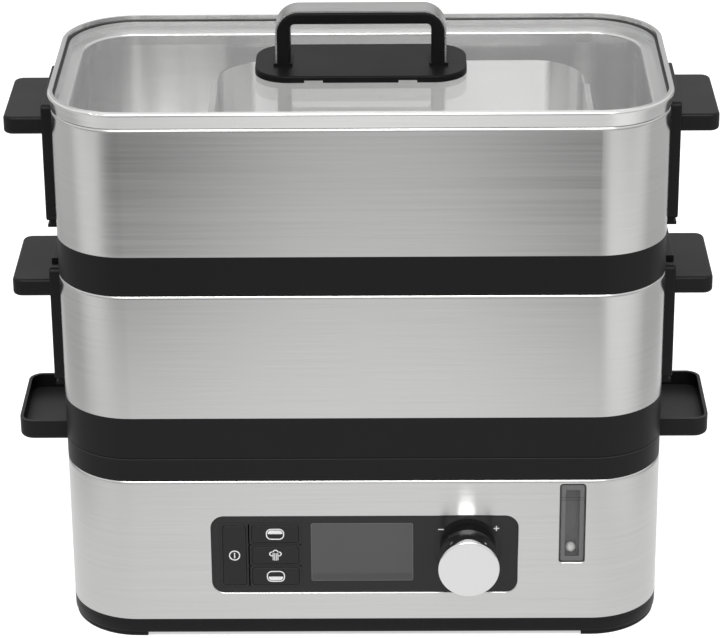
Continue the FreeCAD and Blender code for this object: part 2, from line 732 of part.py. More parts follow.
def make_water_tank():
    """Tank that hangs by its flange from the shelf of the collar."""
    body = new_piece("water_tank")
    flange = inset_outline("(dims.seat_width + dims.tank_gap)")
    add_block(body, "flange", *flange, SHELF_TOP, "dims.tank_wall")
    add_block(body, "tank", *inset_outline(TANK_INSET), TANK_BOTTOM, "dims.tank_depth")
    inside = inset_outline(f"({TANK_INSET} + dims.tank_wall)")
    floor_top = f"{TANK_BOTTOM} + dims.tank_wall"
    cut_block(body, "water_space", *inside, floor_top, "dims.tank_depth")
    hole = "dims.heater_radius + dims.fit_gap"
    cut_rods(body, "heater_hole", hole, MIDDLE_SPOT, TANK_BOTTOM, "dims.tank_wall")
    port_back = f"{TANK_FRONT} - dims.tank_wall"
    cut_rods(body, "gauge_port", "dims.gauge_port_radius", FLOAT_SPOT, port_back, "dims.tank_wall", FRONT)
    return body


HEATER_BOTTOM = f"({TANK_BOTTOM} - dims.heater_seal - dims.heater_thickness)"


def make_heater_plate():
    """Cast plate that closes the hole in the tank's floor."""
    body = new_piece("heater_plate")
    flange = "dims.heater_radius + dims.heater_flange"
    add_rods(body, "flange", flange, MIDDLE_SPOT, HEATER_BOTTOM, "dims.heater_thickness")
    crown = "dims.heater_thickness + dims.heater_seal + dims.tank_wall + dims.heater_rise"
    add_rods(body, "crown", "dims.heater_radius", MIDDLE_SPOT, HEATER_BOTTOM, crown)
    crown_top = number(f"{HEATER_BOTTOM} + {crown}")
    bevel(body, "crown_edge", "dims.heater_rise / 2", (0, 0, 1), crown_top)
    return body


def make_heater_seal():
    """Flat ring between the heater plate and the floor of the tank."""
    body = new_piece("heater_seal")
    bottom = f"{TANK_BOTTOM} - dims.heater_seal"
    outside = "dims.heater_radius + dims.heater_flange"
    add_rods(body, "ring", outside, MIDDLE_SPOT, bottom, "dims.heater_seal")
    inside = "dims.heater_radius + dims.fit_gap"
    cut_rods(body, "hole", inside, MIDDLE_SPOT, bottom, "dims.heater_seal")
    return body


def make_heating_element():
    """Tubular element bent into an open ring under the plate, with a pin at each end."""
    level = f"{HEATER_BOTTOM} - dims.element_tube - dims.run_gap"
    tube = document.addObject("Part::Torus", "element_tube")
    tube.setExpression("Radius1", "dims.element_radius")
    tube.setExpression("Radius2", "dims.element_tube")
    tube.setExpression("Angle3", "dims.element_angle")
    tube.setExpression("Placement.Base.z", level)
    pieces = [tube]
    for angle in ("0", "dims.element_angle"):
        pin = document.addObject("Part::Cylinder", "element_pin")
        pin.setExpression("Radius", "dims.element_pin_radius")
        pin.setExpression("Height", "dims.element_pin_length")
        pin.setExpression("Placement.Base.x", f"dims.element_radius * cos({angle} * 1 deg)")
        pin.setExpression("Placement.Base.y", f"dims.element_radius * sin({angle} * 1 deg)")
        pin.setExpression("Placement.Base.z", f"{level} - dims.element_pin_length")
        pieces.append(pin)
    element = document.addObject("Part::MultiFuse", "heating_element")
    element.Label = "heating_element"
    element.Shapes = pieces
    element.setExpression("Placement.Base.y", CENTRING)
    document.recompute()
    return element


def make_thermostat():
    """Bimetal switch against the underside of the heater plate."""
    body = new_piece("thermostat")
    bottom = f"{HEATER_BOTTOM} - dims.thermostat_height"
    add_rods(body, "case", "dims.thermostat_radius", MIDDLE_SPOT, bottom, "dims.thermostat_height")
    bevel(body, "case_edge", "dims.thermostat_edge", (0, 0, -1), -number(bottom))
    return body


def make_control_panel():
    """Dark panel behind the window in the housing, with openings for the display, keys and knob."""
    body = new_piece("control_panel")
    depth = "dims.panel_flange_thickness + dims.steel"
    flange = (
        "dims.panel_width + 2 * dims.panel_flange",
        "dims.panel_height + 2 * dims.panel_flange",
        "dims.panel_radius + dims.panel_flange",
    )
    add_block(body, "flange", *flange, PANEL_BACK, "dims.panel_flange_thickness", FRONT, PANEL_CENTRE)
    face = (
        "dims.panel_width - 2 * dims.fit_gap",
        "dims.panel_height - 2 * dims.fit_gap",
        "dims.panel_radius - dims.fit_gap",
    )
    add_block(body, "face", *face, WALL_BACK, "dims.steel - dims.panel_recess", FRONT, PANEL_CENTRE)
    boss = "dims.board_boss_radius"
    add_rods(body, "bosses", boss, CONTROL_BOARD_SPOTS, BOARD_FACE, "dims.board_spacer", FRONT)
    opening = (DISPLAY_WIDTH, "dims.display_height", "dims.display_radius")
    cut_block(body, "display_opening", *opening, PANEL_BACK, depth, FRONT, DISPLAY_CENTRE)
    for label, (width, height, x, z) in KEYS.items():
        hole = (
            f"{width} + 2 * dims.key_gap",
            f"{height} + 2 * dims.key_gap",
            "dims.key_radius + dims.key_gap",
        )
        cut_block(body, f"{label}_hole", *hole, PANEL_BACK, depth, FRONT, (x, z))
    bush = "dims.encoder_bush_radius + dims.fit_gap"
    cut_rods(body, "bush_hole", bush, KNOB_SPOT, PANEL_BACK, depth, FRONT)
    well = "dims.knob_radius + dims.knob_well_margin"
    well_floor = f"{PANEL_FACE} - dims.knob_well_depth"
    cut_rods(body, "knob_well", well, KNOB_SPOT, well_floor, "dims.knob_well_depth", FRONT)
    pilot = "dims.small_screw_radius + dims.run_gap"
    cut_rods(body, "pilots", pilot, CONTROL_BOARD_SPOTS, BOARD_FACE, "dims.board_spacer", FRONT)
    return body


def make_display_window():
    """Clear lens of the display, held by its flange behind the panel."""
    body = new_piece("display_window")
    back = f"{PANEL_BACK} - dims.lens_flange_thickness"
    flange = (
        f"{DISPLAY_WIDTH} + 2 * dims.lens_flange",
        "dims.display_height + 2 * dims.lens_flange",
        "dims.display_radius + dims.lens_flange",
    )
    add_block(body, "flange", *flange, back, "dims.lens_flange_thickness", FRONT, DISPLAY_CENTRE)
    lens = (
        f"{DISPLAY_WIDTH} - 2 * dims.fit_gap",
        "dims.display_height - 2 * dims.fit_gap",
        "dims.display_radius - dims.fit_gap",
    )
    add_block(body, "lens", *lens, PANEL_BACK, f"{PANEL_FACE} - {PANEL_BACK}", FRONT, DISPLAY_CENTRE)
    return body


def make_display_module():
    """Display between the lens and the control board."""
    body = new_piece("display_module")
    depth = f"{PANEL_BACK} - dims.lens_flange_thickness - {BOARD_FACE}"
    size = (DISPLAY_WIDTH, "dims.display_height", None)
    add_block(body, "module", *size, BOARD_FACE, depth, FRONT, DISPLAY_CENTRE)
    return body


def make_control_board():
    """Circuit board on the bosses behind the panel."""
    body = new_piece("control_board")
    back = f"{BOARD_FACE} - dims.board_thickness"
    size = ("dims.panel_width + 2 * dims.board_margin", "dims.panel_height - 2 * dims.board_margin", None)
    add_block(body, "board", *size, back, "dims.board_thickness", FRONT, PANEL_CENTRE)
    hole = "dims.small_screw_radius + dims.fit_gap"
    cut_rods(body, "holes", hole, CONTROL_BOARD_SPOTS, back, "dims.board_thickness", FRONT)
    return body


def make_board_screws():
    """Small screws that hold the two circuit boards."""
    body = new_piece("board_screws")
    back = f"{BOARD_FACE} - dims.board_thickness"
    head = ("dims.small_head_radius", CONTROL_BOARD_SPOTS)
    add_rods(body, "panel_heads", *head, f"{back} - dims.small_head_height", "dims.small_head_height", FRONT)
    shank = "dims.board_thickness + dims.small_screw_bite"
    add_rods(body, "panel_shanks", "dims.small_screw_radius", CONTROL_BOARD_SPOTS, back, shank, FRONT)
    pan_head = ("dims.small_head_radius", POWER_BOARD_SPOTS)
    add_rods(body, "pan_heads", *pan_head, POWER_BOARD_TOP, "dims.small_head_height")
    tip = f"{POWER_BOARD_BOTTOM} - dims.small_screw_bite"
    add_rods(body, "pan_shanks", "dims.small_screw_radius", POWER_BOARD_SPOTS, tip, shank)
    return body


def make_key(label, width, height, x, z):
    """Push key with a flange behind the panel and a stem that meets its switch."""
    body = new_piece(label)
    reach = f"{PANEL_FACE} + dims.key_proud - {KEY_FLANGE_FRONT}"
    add_block(body, "cap", width, height, "dims.key_radius", KEY_FLANGE_FRONT, reach, FRONT, (x, z))
    front = number(f"{PANEL_FACE} + dims.key_proud")
    soften(body, "cap_edge", "dims.key_edge", (0, -1, 0), front)
    flange = (f"{width} + 2 * dims.key_flange", f"{height} + 2 * dims.key_flange", "dims.key_radius")
    add_block(body, "flange", *flange, KEY_STEM_FRONT, "dims.key_flange_thickness", FRONT, (x, z))
    add_rods(body, "stem", "dims.key_stem_radius", [(x, z)], KEY_TIP, "dims.key_stem_length", FRONT)
    return body


def make_key_switches():
    """Switch under each key, on the control board."""
    body = new_piece("key_switches")
    spots = []
    height = f"{SWITCH_TOP} - {BOARD_FACE}"
    case = ("dims.switch_size", "dims.switch_size", None)
    case_height = f"{height} - dims.switch_plunger_height"
    for label, (_, _, x, z) in KEYS.items():
        add_block(body, f"{label}_case", *case, BOARD_FACE, case_height, FRONT, (x, z))
        spots.append((x, z))
    add_rods(body, "plungers", "dims.switch_plunger_radius", spots, BOARD_FACE, height, FRONT)
    return body


def make_knob_encoder():
    """Rotary encoder on the control board, whose bush reaches through the panel."""
    body = new_piece("knob_encoder")
    case = ("dims.encoder_size", "dims.encoder_size", None)
    add_block(body, "case", *case, BOARD_FACE, "dims.encoder_height", FRONT, KNOB_SPOT[0])
    bush_length = f"{PANEL_FACE} - dims.knob_well_depth - {BOARD_FACE}"
    add_rods(body, "bush", "dims.encoder_bush_radius", KNOB_SPOT, BOARD_FACE, bush_length, FRONT)
    bore_back = f"{BOARD_FACE} + dims.encoder_floor"
    bore = "dims.shaft_radius + dims.run_gap"
    cut_rods(body, "bore", bore, KNOB_SPOT, bore_back, bush_length, FRONT)
    return body


def make_knob_shaft():
    """Shaft that turns in the encoder and carries the knob."""
    body = new_piece("knob_shaft")
    back = f"({BOARD_FACE} + dims.encoder_floor + dims.fit_gap)"
    length = f"{KNOB_BACK} + dims.shaft_grip - {back}"
    add_rods(body, "shaft", "dims.shaft_radius", KNOB_SPOT, back, length, FRONT)
    return body


def make_knob_hub():
    """Dark core of the knob, which shows as a collar behind the bright cap."""
    body = new_piece("knob_hub")
    collar = f"{CAP_BACK} - {KNOB_BACK}"
    add_rods(body, "collar", "dims.knob_collar_radius", KNOB_SPOT, KNOB_BACK, collar, FRONT)
    core = "dims.knob_radius - dims.knob_cap_wall - dims.fit_gap"
    core_length = "dims.knob_cap_length - dims.knob_cap_face - dims.fit_gap"
    add_rods(body, "core", core, KNOB_SPOT, CAP_BACK, core_length, FRONT)
    bore = "dims.shaft_radius + dims.run_gap"
    cut_rods(body, "bore", bore, KNOB_SPOT, KNOB_BACK, "dims.shaft_grip + dims.fit_gap", FRONT)
    return body


def make_knob_cap():
    """Polished metal cap of the knob."""
    body = new_piece("knob_cap")
    add_rods(body, "cap", "dims.knob_radius", KNOB_SPOT, CAP_BACK, "dims.knob_cap_length", FRONT)
    soften(body, "cap_edge", "dims.knob_edge_radius", (0, -1, 0), number(KNOB_FRONT))
    inside = "dims.knob_radius - dims.knob_cap_wall"
    depth = "dims.knob_cap_length - dims.knob_cap_face"
    cut_rods(body, "inside", inside, KNOB_SPOT, CAP_BACK, depth, FRONT)
    return body


def make_gauge_window():
    """Smoked lens of the water gauge, held by its flange behind the housing."""
    body = new_piece("gauge_window")
    flange = (
        "dims.gauge_width + 2 * dims.gauge_flange",
        "dims.gauge_height + 2 * dims.gauge_flange",
        "dims.gauge_radius + dims.gauge_flange",
    )
    add_block(body, "flange", *flange, GAUGE_BACK, "dims.lens_flange_thickness", FRONT, GAUGE_CENTRE)
    lens = (
        "dims.gauge_width - 2 * dims.fit_gap",
        "dims.gauge_height - 2 * dims.fit_gap",
        "dims.gauge_radius - dims.fit_gap",
    )
    add_block(body, "lens", *lens, WALL_BACK, "dims.steel - dims.panel_recess", FRONT, GAUGE_CENTRE)
    return body


def make_gauge_channel():
    """Channel between the tank and the gauge window, in which the float rises with the water."""
    body = new_piece("gauge_channel")
    depth = f"{GAUGE_BACK} - {TANK_FRONT}"
    bore = "(2 * dims.float_radius + 2 * dims.float_gap)"
    slot = (bore, f"{bore} + {FLOAT_RISE}", None)
    slot_centre = (FLOAT_X, f"{FLOAT_Z} + {FLOAT_RISE} / 2")
    slot_back = f"({GAUGE_BACK} - {bore})"
    outside = (
        f"{bore} + 2 * dims.gauge_channel_wall",
        f"{bore} + {FLOAT_RISE} + 2 * dims.gauge_channel_wall",
        "dims.gauge_channel_wall",
    )
    add_block(body, "channel", *outside, TANK_FRONT, depth, FRONT, slot_centre)
    cut_block(body, "slot", *slot, slot_back, bore, FRONT, slot_centre)
    port = f"{slot_back} - {TANK_FRONT}"
    cut_rods(body, "port", "dims.gauge_port_radius", FLOAT_SPOT, TANK_FRONT, port, FRONT)
    return body


def make_gauge_float():
    """Ball that floats in the gauge channel, shown at the low mark."""
    body = new_piece("gauge_float")
    ball = body.newObject("PartDesign::AdditiveSphere", "ball")
    ball.setExpression("Radius", "dims.float_radius")
    ball.setExpression("Placement.Base.x", FLOAT_X)
    ball.setExpression("Placement.Base.y", f"-({GAUGE_BACK} - dims.float_gap - dims.float_radius)")
    ball.setExpression("Placement.Base.z", FLOAT_Z)
    document.recompute()
    return body


def make_cord_gland():
    """Bush in the rear wall where the mains cord enters."""
    body = new_piece("cord_gland")
    outside = f"-({FACE} + dims.gland_flange_thickness)"
    flange = "dims.gland_flange_radius"
    add_rods(body, "flange", flange, GLAND_SPOT, outside, "dims.gland_flange_thickness", FRONT)
    level = number(f"{FACE} + dims.gland_flange_thickness")
    bevel(body, "flange_edge", "dims.gland_flange_thickness / 2", (0, 1, 0), level)
    add_rods(body, "barrel", "dims.gland_barrel_radius", GLAND_SPOT, outside, "dims.gland_length", FRONT)
    cut_rods(body, "bore", "dims.gland_bore_radius", GLAND_SPOT, outside, "dims.gland_length", FRONT)
    return body


def make_gland_nut():
    """Nut that holds the gland from inside the wall."""
    body = new_piece("gland_nut")
    wall = f"-{WALL_BACK}"
    add_rods(body, "nut", "dims.gland_nut_radius", GLAND_SPOT, wall, "dims.gland_nut_thickness", FRONT)
    bore = "dims.gland_barrel_radius + dims.run_gap"
    cut_rods(body, "bore", bore, GLAND_SPOT, wall, "dims.gland_nut_thickness", FRONT)
    return body


def make_power_board():
    """Board that switches the heater, on posts in the pan."""
    body = new_piece("power_board")
    centre = (POWER_BOARD_X, "0")
    size = ("dims.power_board_width", "dims.power_board_depth", None)
    add_block(body, "board", *size, POWER_BOARD_BOTTOM, "dims.board_thickness", TOP, centre)
    hole = "dims.small_screw_radius + dims.fit_gap"
    cut_rods(body, "holes", hole, POWER_BOARD_SPOTS, POWER_BOARD_BOTTOM, "dims.board_thickness")
    return body


def make_power_relay():
    """Relay on the power board."""
    body = new_piece("power_relay")
    size = ("dims.relay_length", "dims.relay_width", None)
    centre = (POWER_BOARD_X, "dims.relay_y")
    add_block(body, "case", *size, POWER_BOARD_TOP, "dims.relay_height", TOP, centre)
    return body


def make_terminal_block():
    """Terminal block on the power board, where the wires of the cord end."""
    body = new_piece("terminal_block")
    size = ("dims.terminal_length", "dims.terminal_width", None)
    centre = (POWER_BOARD_X, "dims.terminal_y")
    add_block(body, "case", *size, POWER_BOARD_TOP, "dims.terminal_height", TOP, centre)
    return body


def make_drip_tray():
    """Shallow dish under the containers: it hangs from the tank's flange and leaves both ends open."""
    body = new_piece("drip_tray")
    lip_width = "dims.body_width - 2 * dims.drip_end_gap"
    lip_depth = "dims.body_depth - 2 * (dims.seat_width + dims.tank_gap + dims.nest_gap)"
    add_block(body, "lip", lip_width, lip_depth, "dims.drip_radius", TANK_TOP, "dims.drip_wall")
    dish_inset = f"({TANK_INSET} + dims.tank_wall + dims.tank_gap)"
    dish_width = f"{lip_width} - 2 * dims.drip_lip"
    dish_depth = f"dims.body_depth - 2 * {dish_inset}"
    dish_bottom = f"({TANK_TOP} - dims.drip_depth)"
    add_block(body, "dish", dish_width, dish_depth, "dims.drip_radius", dish_bottom, "dims.drip_depth")
    inside = (
        f"{dish_width} - 2 * dims.drip_wall",
        f"{dish_depth} - 2 * dims.drip_wall",
        "dims.drip_radius - dims.drip_wall",
    )
    cut_block(body, "inside", *inside, f"{dish_bottom} + dims.drip_wall", "dims.drip_depth")
    return body


def handle_screw_spots(wall_top):
    """Spots of a handle's two screws, as seen from the side."""
    level = f"{wall_top} - dims.handle_screw_drop"
    half = "dims.handle_screw_spacing / 2"
    return [(f"-{half}", level), (half, level)]


def outside_offset(side, near, thickness):
    """Start, along X, of a piece that lies outside the left or right wall."""
    if side > 0:
        return f"dims.body_width / 2 + {near}"
    return f"-(dims.body_width / 2 + {near} + {thickness})"


def make_container_wall(tier, bottom):
    """Steel wall of a container, with holes for the screws of its handles."""
    body = new_piece(f"{tier}_wall")
    add_sleeve(body, bottom, "dims.wall_height", "dims.floor_flange", "dims.rim_width")
    spots = handle_screw_spots(f"{bottom} + dims.wall_height")
    hole = "dims.handle_screw_radius + dims.fit_gap"
    cut_rods(body, "screw_holes", hole, spots, "-dims.body_width / 2", "dims.body_width", SIDE)
    return body


def make_container_floor(tier, bottom):
    """Perforated plate that lies on the folded-in foot of the wall."""
    body = new_piece(f"{tier}_floor")
    level = f"({bottom} + dims.steel)"
    add_block(body, "plate", *inset_outline("(dims.steel + dims.floor_inset)"), level, "dims.steel")
    first_column = "-dims.floor_hole_pitch * (dims.floor_hole_columns - 1) / 2"
    spots = []
    half_rows = FLOOR_HOLE_ROWS // 2
    for step in range(-half_rows, half_rows + 1):
        along = "0" if step == 0 else f"{step} * dims.floor_hole_pitch"
        spots.append((first_column, along))
    sketch = new_sketch(body, "column", TOP, ("0", "0"), level)
    draw_circles(sketch, "dims.floor_hole_radius", spots)
    sink_pocket(body, sketch, "dims.steel")
    column = body.Tip
    holes = body.newObject("PartDesign::LinearPattern", "columns")
    holes.Originals = [column]
    holes.Direction = (sketch, ["H_Axis"])
    holes.setExpression("Length", "dims.floor_hole_pitch * (dims.floor_hole_columns - 1)")
    holes.setExpression("Occurrences", "dims.floor_hole_columns")
    body.Tip = holes
    document.recompute()
    return body


def make_container_ring(tier, bottom, ring_height, lip_inset):
    """Plastic ring under a container: its lip nests in the rim of what stands below."""
    body = new_piece(f"{tier}_ring")
    ring_bottom = f"({bottom} - {ring_height})"
    lip_bottom = f"({ring_bottom} - dims.lip_depth)"
    add_block(body, "band", *inset_outline("0"), ring_bottom, ring_height)
    add_block(body, "lip", *inset_outline(lip_inset), lip_bottom, "dims.lip_depth")
    through = f"{ring_height} + dims.lip_depth"
    cut_block(body, "opening", *inset_outline("dims.ring_shelf"), lip_bottom, through)
    below_shelf = f"{through} - dims.ring_shelf_thickness"
    cut_block(body, "inside", *inset_outline(f"({lip_inset} + dims.lip_wall)"), lip_bottom, below_shelf)
    slot = ("dims.barb_width + 2 * dims.fit_gap", "dims.barb_height + 2 * dims.fit_gap", None)
    depth = "(dims.barb_depth + dims.fit_gap)"
    level = f"{bottom} - dims.barb_drop"
    for side, word in ((-1, "left"), (1, "right")):
        start = outside_offset(side, f"-{depth}", depth)
        cut_block(body, f"{word}_barb_slot", *slot, start, depth, SIDE, ("0", level))
    return body


def make_handle(tier, word, side, bottom, with_slot):
    """Moulded side handle: a strap down the wall, a grip, and a tongue that hooks into the ring."""
    body = new_piece(f"{tier}_{word}_handle")
    wall_top = f"({bottom} + dims.wall_height)"
    grip_bottom = f"({wall_top} - dims.grip_top_drop - dims.grip_thickness)"
    grip_top = f"({wall_top} - dims.grip_top_drop)"
    grip = ("dims.grip_reach", "dims.grip_width", "dims.grip_corner")
    grip_centre = (f"{side} * (dims.body_width / 2 + dims.grip_reach / 2)", "0")
    add_block(body, "grip", *grip, grip_bottom, "dims.grip_thickness", TOP, grip_centre)
    soften(body, "grip_top_edge", "dims.grip_edge", (0, 0, 1), number(grip_top))
    soften(body, "grip_bottom_edge", "dims.grip_edge", (0, 0, -1), -number(grip_bottom))
    strap_top = f"({wall_top} - dims.strap_top_drop)"
    strap_bottom = f"({bottom} + dims.strap_clear)"
    strap = ("dims.strap_width", f"{strap_top} - {strap_bottom}", "dims.strap_corner")
    strap_start = outside_offset(side, "0", "dims.strap_thickness")
    strap_middle = f"({strap_top} + {strap_bottom}) / 2"
    add_block(body, "strap", *strap, strap_start, "dims.strap_thickness", SIDE, ("0", strap_middle))
    outer_face = number("dims.body_width / 2 + dims.strap_thickness")
    soften(body, "strap_edge", "dims.strap_edge", (side, 0, 0), outer_face)
    recess = (
        "dims.grip_reach - dims.strap_thickness - 2 * dims.grip_recess_inset",
        "dims.grip_width - 2 * dims.grip_recess_inset",
        "dims.grip_corner / 2",
    )
    recess_x = f"{side} * (dims.body_width / 2 + (dims.grip_reach + dims.strap_thickness) / 2)"
    cut_block(body, "finger_recess", *recess, grip_bottom, "dims.grip_recess_depth", TOP, (recess_x, "0"))
    tongue = ("dims.tongue_width", "dims.tongue_depth + dims.strap_corner", None)
    tongue_middle = f"{strap_bottom} + (dims.strap_corner - dims.tongue_depth) / 2"
    tongue_start = outside_offset(side, "0", "dims.tongue_thickness")
    add_block(body, "tongue", *tongue, tongue_start, "dims.tongue_thickness", SIDE, ("0", tongue_middle))
    lip = ("dims.tongue_width", "dims.tongue_lip_height", None)
    lip_middle = f"{strap_bottom} - dims.tongue_depth + dims.tongue_lip_height / 2"
    lip_thickness = "(dims.tongue_thickness + dims.tongue_lip)"
    lip_start = outside_offset(side, "0", lip_thickness)
    add_block(body, "tongue_lip", *lip, lip_start, lip_thickness, SIDE, ("0", lip_middle))
    barb_start = outside_offset(side, "-dims.barb_depth", "dims.barb_depth")
    barb_level = f"{bottom} - dims.barb_drop"
    barb = ("dims.barb_width", "dims.barb_height", None)
    add_block(body, "barb", *barb, barb_start, "dims.barb_depth", SIDE, ("0", barb_level))
    if with_slot:
        slot = ("dims.strap_thickness", "dims.slot_length", None)
        slot_x = f"{side} * (dims.body_width / 2 + dims.slot_wall + dims.strap_thickness / 2)"
        slot_bottom = f"{strap_top} - dims.slot_depth"
        cut_block(body, "slot", *slot, slot_bottom, "dims.slot_depth", TOP, (slot_x, "dims.slot_y"))
    bite = "(dims.handle_screw_bite + dims.fit_gap)"
    pilot = "dims.handle_screw_radius + dims.run_gap"
    spots = handle_screw_spots(wall_top)
    cut_rods(body, "pilots", pilot, spots, outside_offset(side, "0", bite), bite, SIDE)
    return body


def make_handle_screws(tier, bottom):
    """Screws from inside a container into its two handles."""
    body = new_piece(f"{tier}_handle_screws")
    spots = handle_screw_spots(f"{bottom} + dims.wall_height")
    shank = "(dims.steel + dims.handle_screw_bite)"
    head = "dims.handle_head_height"
    head_inside = f"-(dims.steel + {head})"
    for side, word in ((-1, "left"), (1, "right")):
        shank_start = outside_offset(side, "-dims.steel", shank)
        add_rods(body, f"{word}_shanks", "dims.handle_screw_radius", spots, shank_start, shank, SIDE)
        head_start = outside_offset(side, head_inside, head)
        add_rods(body, f"{word}_heads", "dims.handle_head_radius", spots, head_start, head, SIDE)
    return body


def make_container(tier, bottom, ring_height, lip_inset, with_slot):
    """All pieces of one steaming container."""
    return [
        make_container_wall(tier, bottom),
        make_container_floor(tier, bottom),
        make_container_ring(tier, bottom, ring_height, lip_inset),
        make_handle(tier, "left", -1, bottom, with_slot),
        make_handle(tier, "right", 1, bottom, with_slot),
        make_handle_screws(tier, bottom),
    ]


def make_rice_tray():
    """Loose steel tray in the upper container, with a lifting ear on each short side."""
    body = new_piece("rice_tray")
    centre = ("dims.tray_x", "0")
    bottom = f"({UPPER_WALL_BOTTOM} + 2 * dims.steel)"
    size = ("dims.tray_width", "dims.tray_depth", "dims.tray_radius")
    add_block(body, "tray", *size, bottom, "dims.tray_height", TOP, centre)
    ears = ("dims.tray_width + 2 * dims.tray_ear_reach", "dims.tray_ear_length", None)
    ear_level = f"{bottom} + dims.tray_height - dims.tray_ear_thickness"
    add_block(body, "ears", *ears, ear_level, "dims.tray_ear_thickness", TOP, centre)
    inside = (
        "dims.tray_width - 2 * dims.tray_wall",
        "dims.tray_depth - 2 * dims.tray_wall",
        "dims.tray_radius - dims.tray_wall",
    )
    floor_top = f"({bottom} + dims.tray_wall)"
    cut_block(body, "inside", *inside, floor_top, "dims.tray_height", TOP, centre)
    inner_radius = "dims.tray_bottom_radius - dims.tray_wall"
    soften(body, "inner_edge", inner_radius, (0, 0, 1), number(floor_top))
    soften(body, "bottom_edge", "dims.tray_bottom_radius", (0, 0, -1), -number(bottom))
    return body


def make_lid_rim():
    """Steel frame of the lid: a flared skirt, a ledge for the glass and a lip that drops inside the rim."""
    body = new_piece("lid_rim")
    plug_bottom = f"({LID_BOTTOM} - dims.lip_depth)"
    flare = new_sketch(body, "skirt", TOP, ("0", "0"), LID_BOTTOM)
    draw_rectangle(flare, *inset_outline("0"))
    raise_pad(body, flare, "dims.lid_skirt_height", "atan(dims.lid_overhang / dims.lid_skirt_height)")
    lid_top = number(f"{LID_BOTTOM} + dims.lid_skirt_height")
    soften(body, "skirt_edge", "dims.lid_rim_radius", (0, 0, 1), lid_top)
    add_block(body, "plug", *inset_outline(RIM_LIP_INSET), plug_bottom, "dims.lip_depth")
    cut_block(body, "seat", *lid_outline("dims.lid_rim_width"), LID_LEDGE_TOP, "dims.lid_skirt_height")
    through = "dims.lip_depth + dims.steel"
    cut_block(body, "opening", *inset_outline(LID_PLUG_INSET), plug_bottom, through)
    ledge_top = number(LID_LEDGE_TOP)
    soften(body, "ledge_bend", "dims.lid_bend_radius", (0, 0, 1), ledge_top, outer=False)
    return body


def make_lid_gasket():
    """Dark seal between the frame and the glass."""
    body = new_piece("lid_gasket")
    height = "dims.gasket_thickness + dims.glass_thickness + dims.gasket_proud"
    add_block(body, "seal", *lid_outline("(dims.lid_rim_width + dims.fit_gap)"), LID_LEDGE_TOP, height)
    seat = lid_outline("(dims.lid_rim_width + dims.gasket_upstand)")
    cut_block(body, "seat", *seat, GLASS_BOTTOM, "dims.glass_thickness + dims.gasket_proud")
    opening = lid_outline("(dims.lid_rim_width + dims.gasket_foot)")
    cut_block(body, "opening", *opening, LID_LEDGE_TOP, "dims.gasket_thickness")
    return body


LID_SCREW_X = "(dims.bow_width - dims.bow_post) / 2"
LID_SCREW_SPOTS = [(f"-{LID_SCREW_X}", "0"), (LID_SCREW_X, "0")]
VENT_SPOTS = [("-dims.vent_x", "0"), ("dims.vent_x", "0")]


def make_lid_glass():
    """Glass pane with holes for the handle's screws and for steam."""
    body = new_piece("lid_glass")
    pane = lid_outline("(dims.lid_rim_width + dims.gasket_upstand + dims.run_gap)")
    add_block(body, "pane", *pane, GLASS_BOTTOM, "dims.glass_thickness")
    hole = "dims.lid_screw_radius + dims.fit_gap"
    cut_rods(body, "screw_holes", hole, LID_SCREW_SPOTS, GLASS_BOTTOM, "dims.glass_thickness")
    cut_rods(body, "steam_holes", "dims.vent_radius", VENT_SPOTS, GLASS_BOTTOM, "dims.glass_thickness")
    return body


def make_lid_plate():
    """Oval plate under the lid's handle, hollow below, with steam notches in its long edges."""
    body = new_piece("lid_plate")
    size = ("dims.plate_width", "dims.plate_depth", "dims.plate_radius")
    add_block(body, "plate", *size, GLASS_TOP, "dims.plate_height")
    soften(body, "plate_edge", "dims.plate_edge", (0, 0, 1), number(PLATE_TOP))
    hollow = (
        "dims.plate_width - 2 * dims.plate_wall",
        "dims.plate_depth - 2 * dims.plate_wall",
        "dims.plate_radius - dims.plate_wall",
    )
    cut_block(body, "hollow", *hollow, GLASS_TOP, "dims.plate_hollow")
    for side, word in ((-1, "left"), (1, "right")):
        notch = ("dims.vent_width", "dims.plate_depth", None)
        spot = (f"{side} * dims.vent_x", "0")
        cut_block(body, f"{word}_notch", *notch, GLASS_TOP, "dims.plate_hollow", TOP, spot)
    hole = "dims.lid_screw_radius + dims.fit_gap"
    cut_rods(body, "screw_holes", hole, LID_SCREW_SPOTS, GLASS_TOP, "dims.plate_height")
    return body


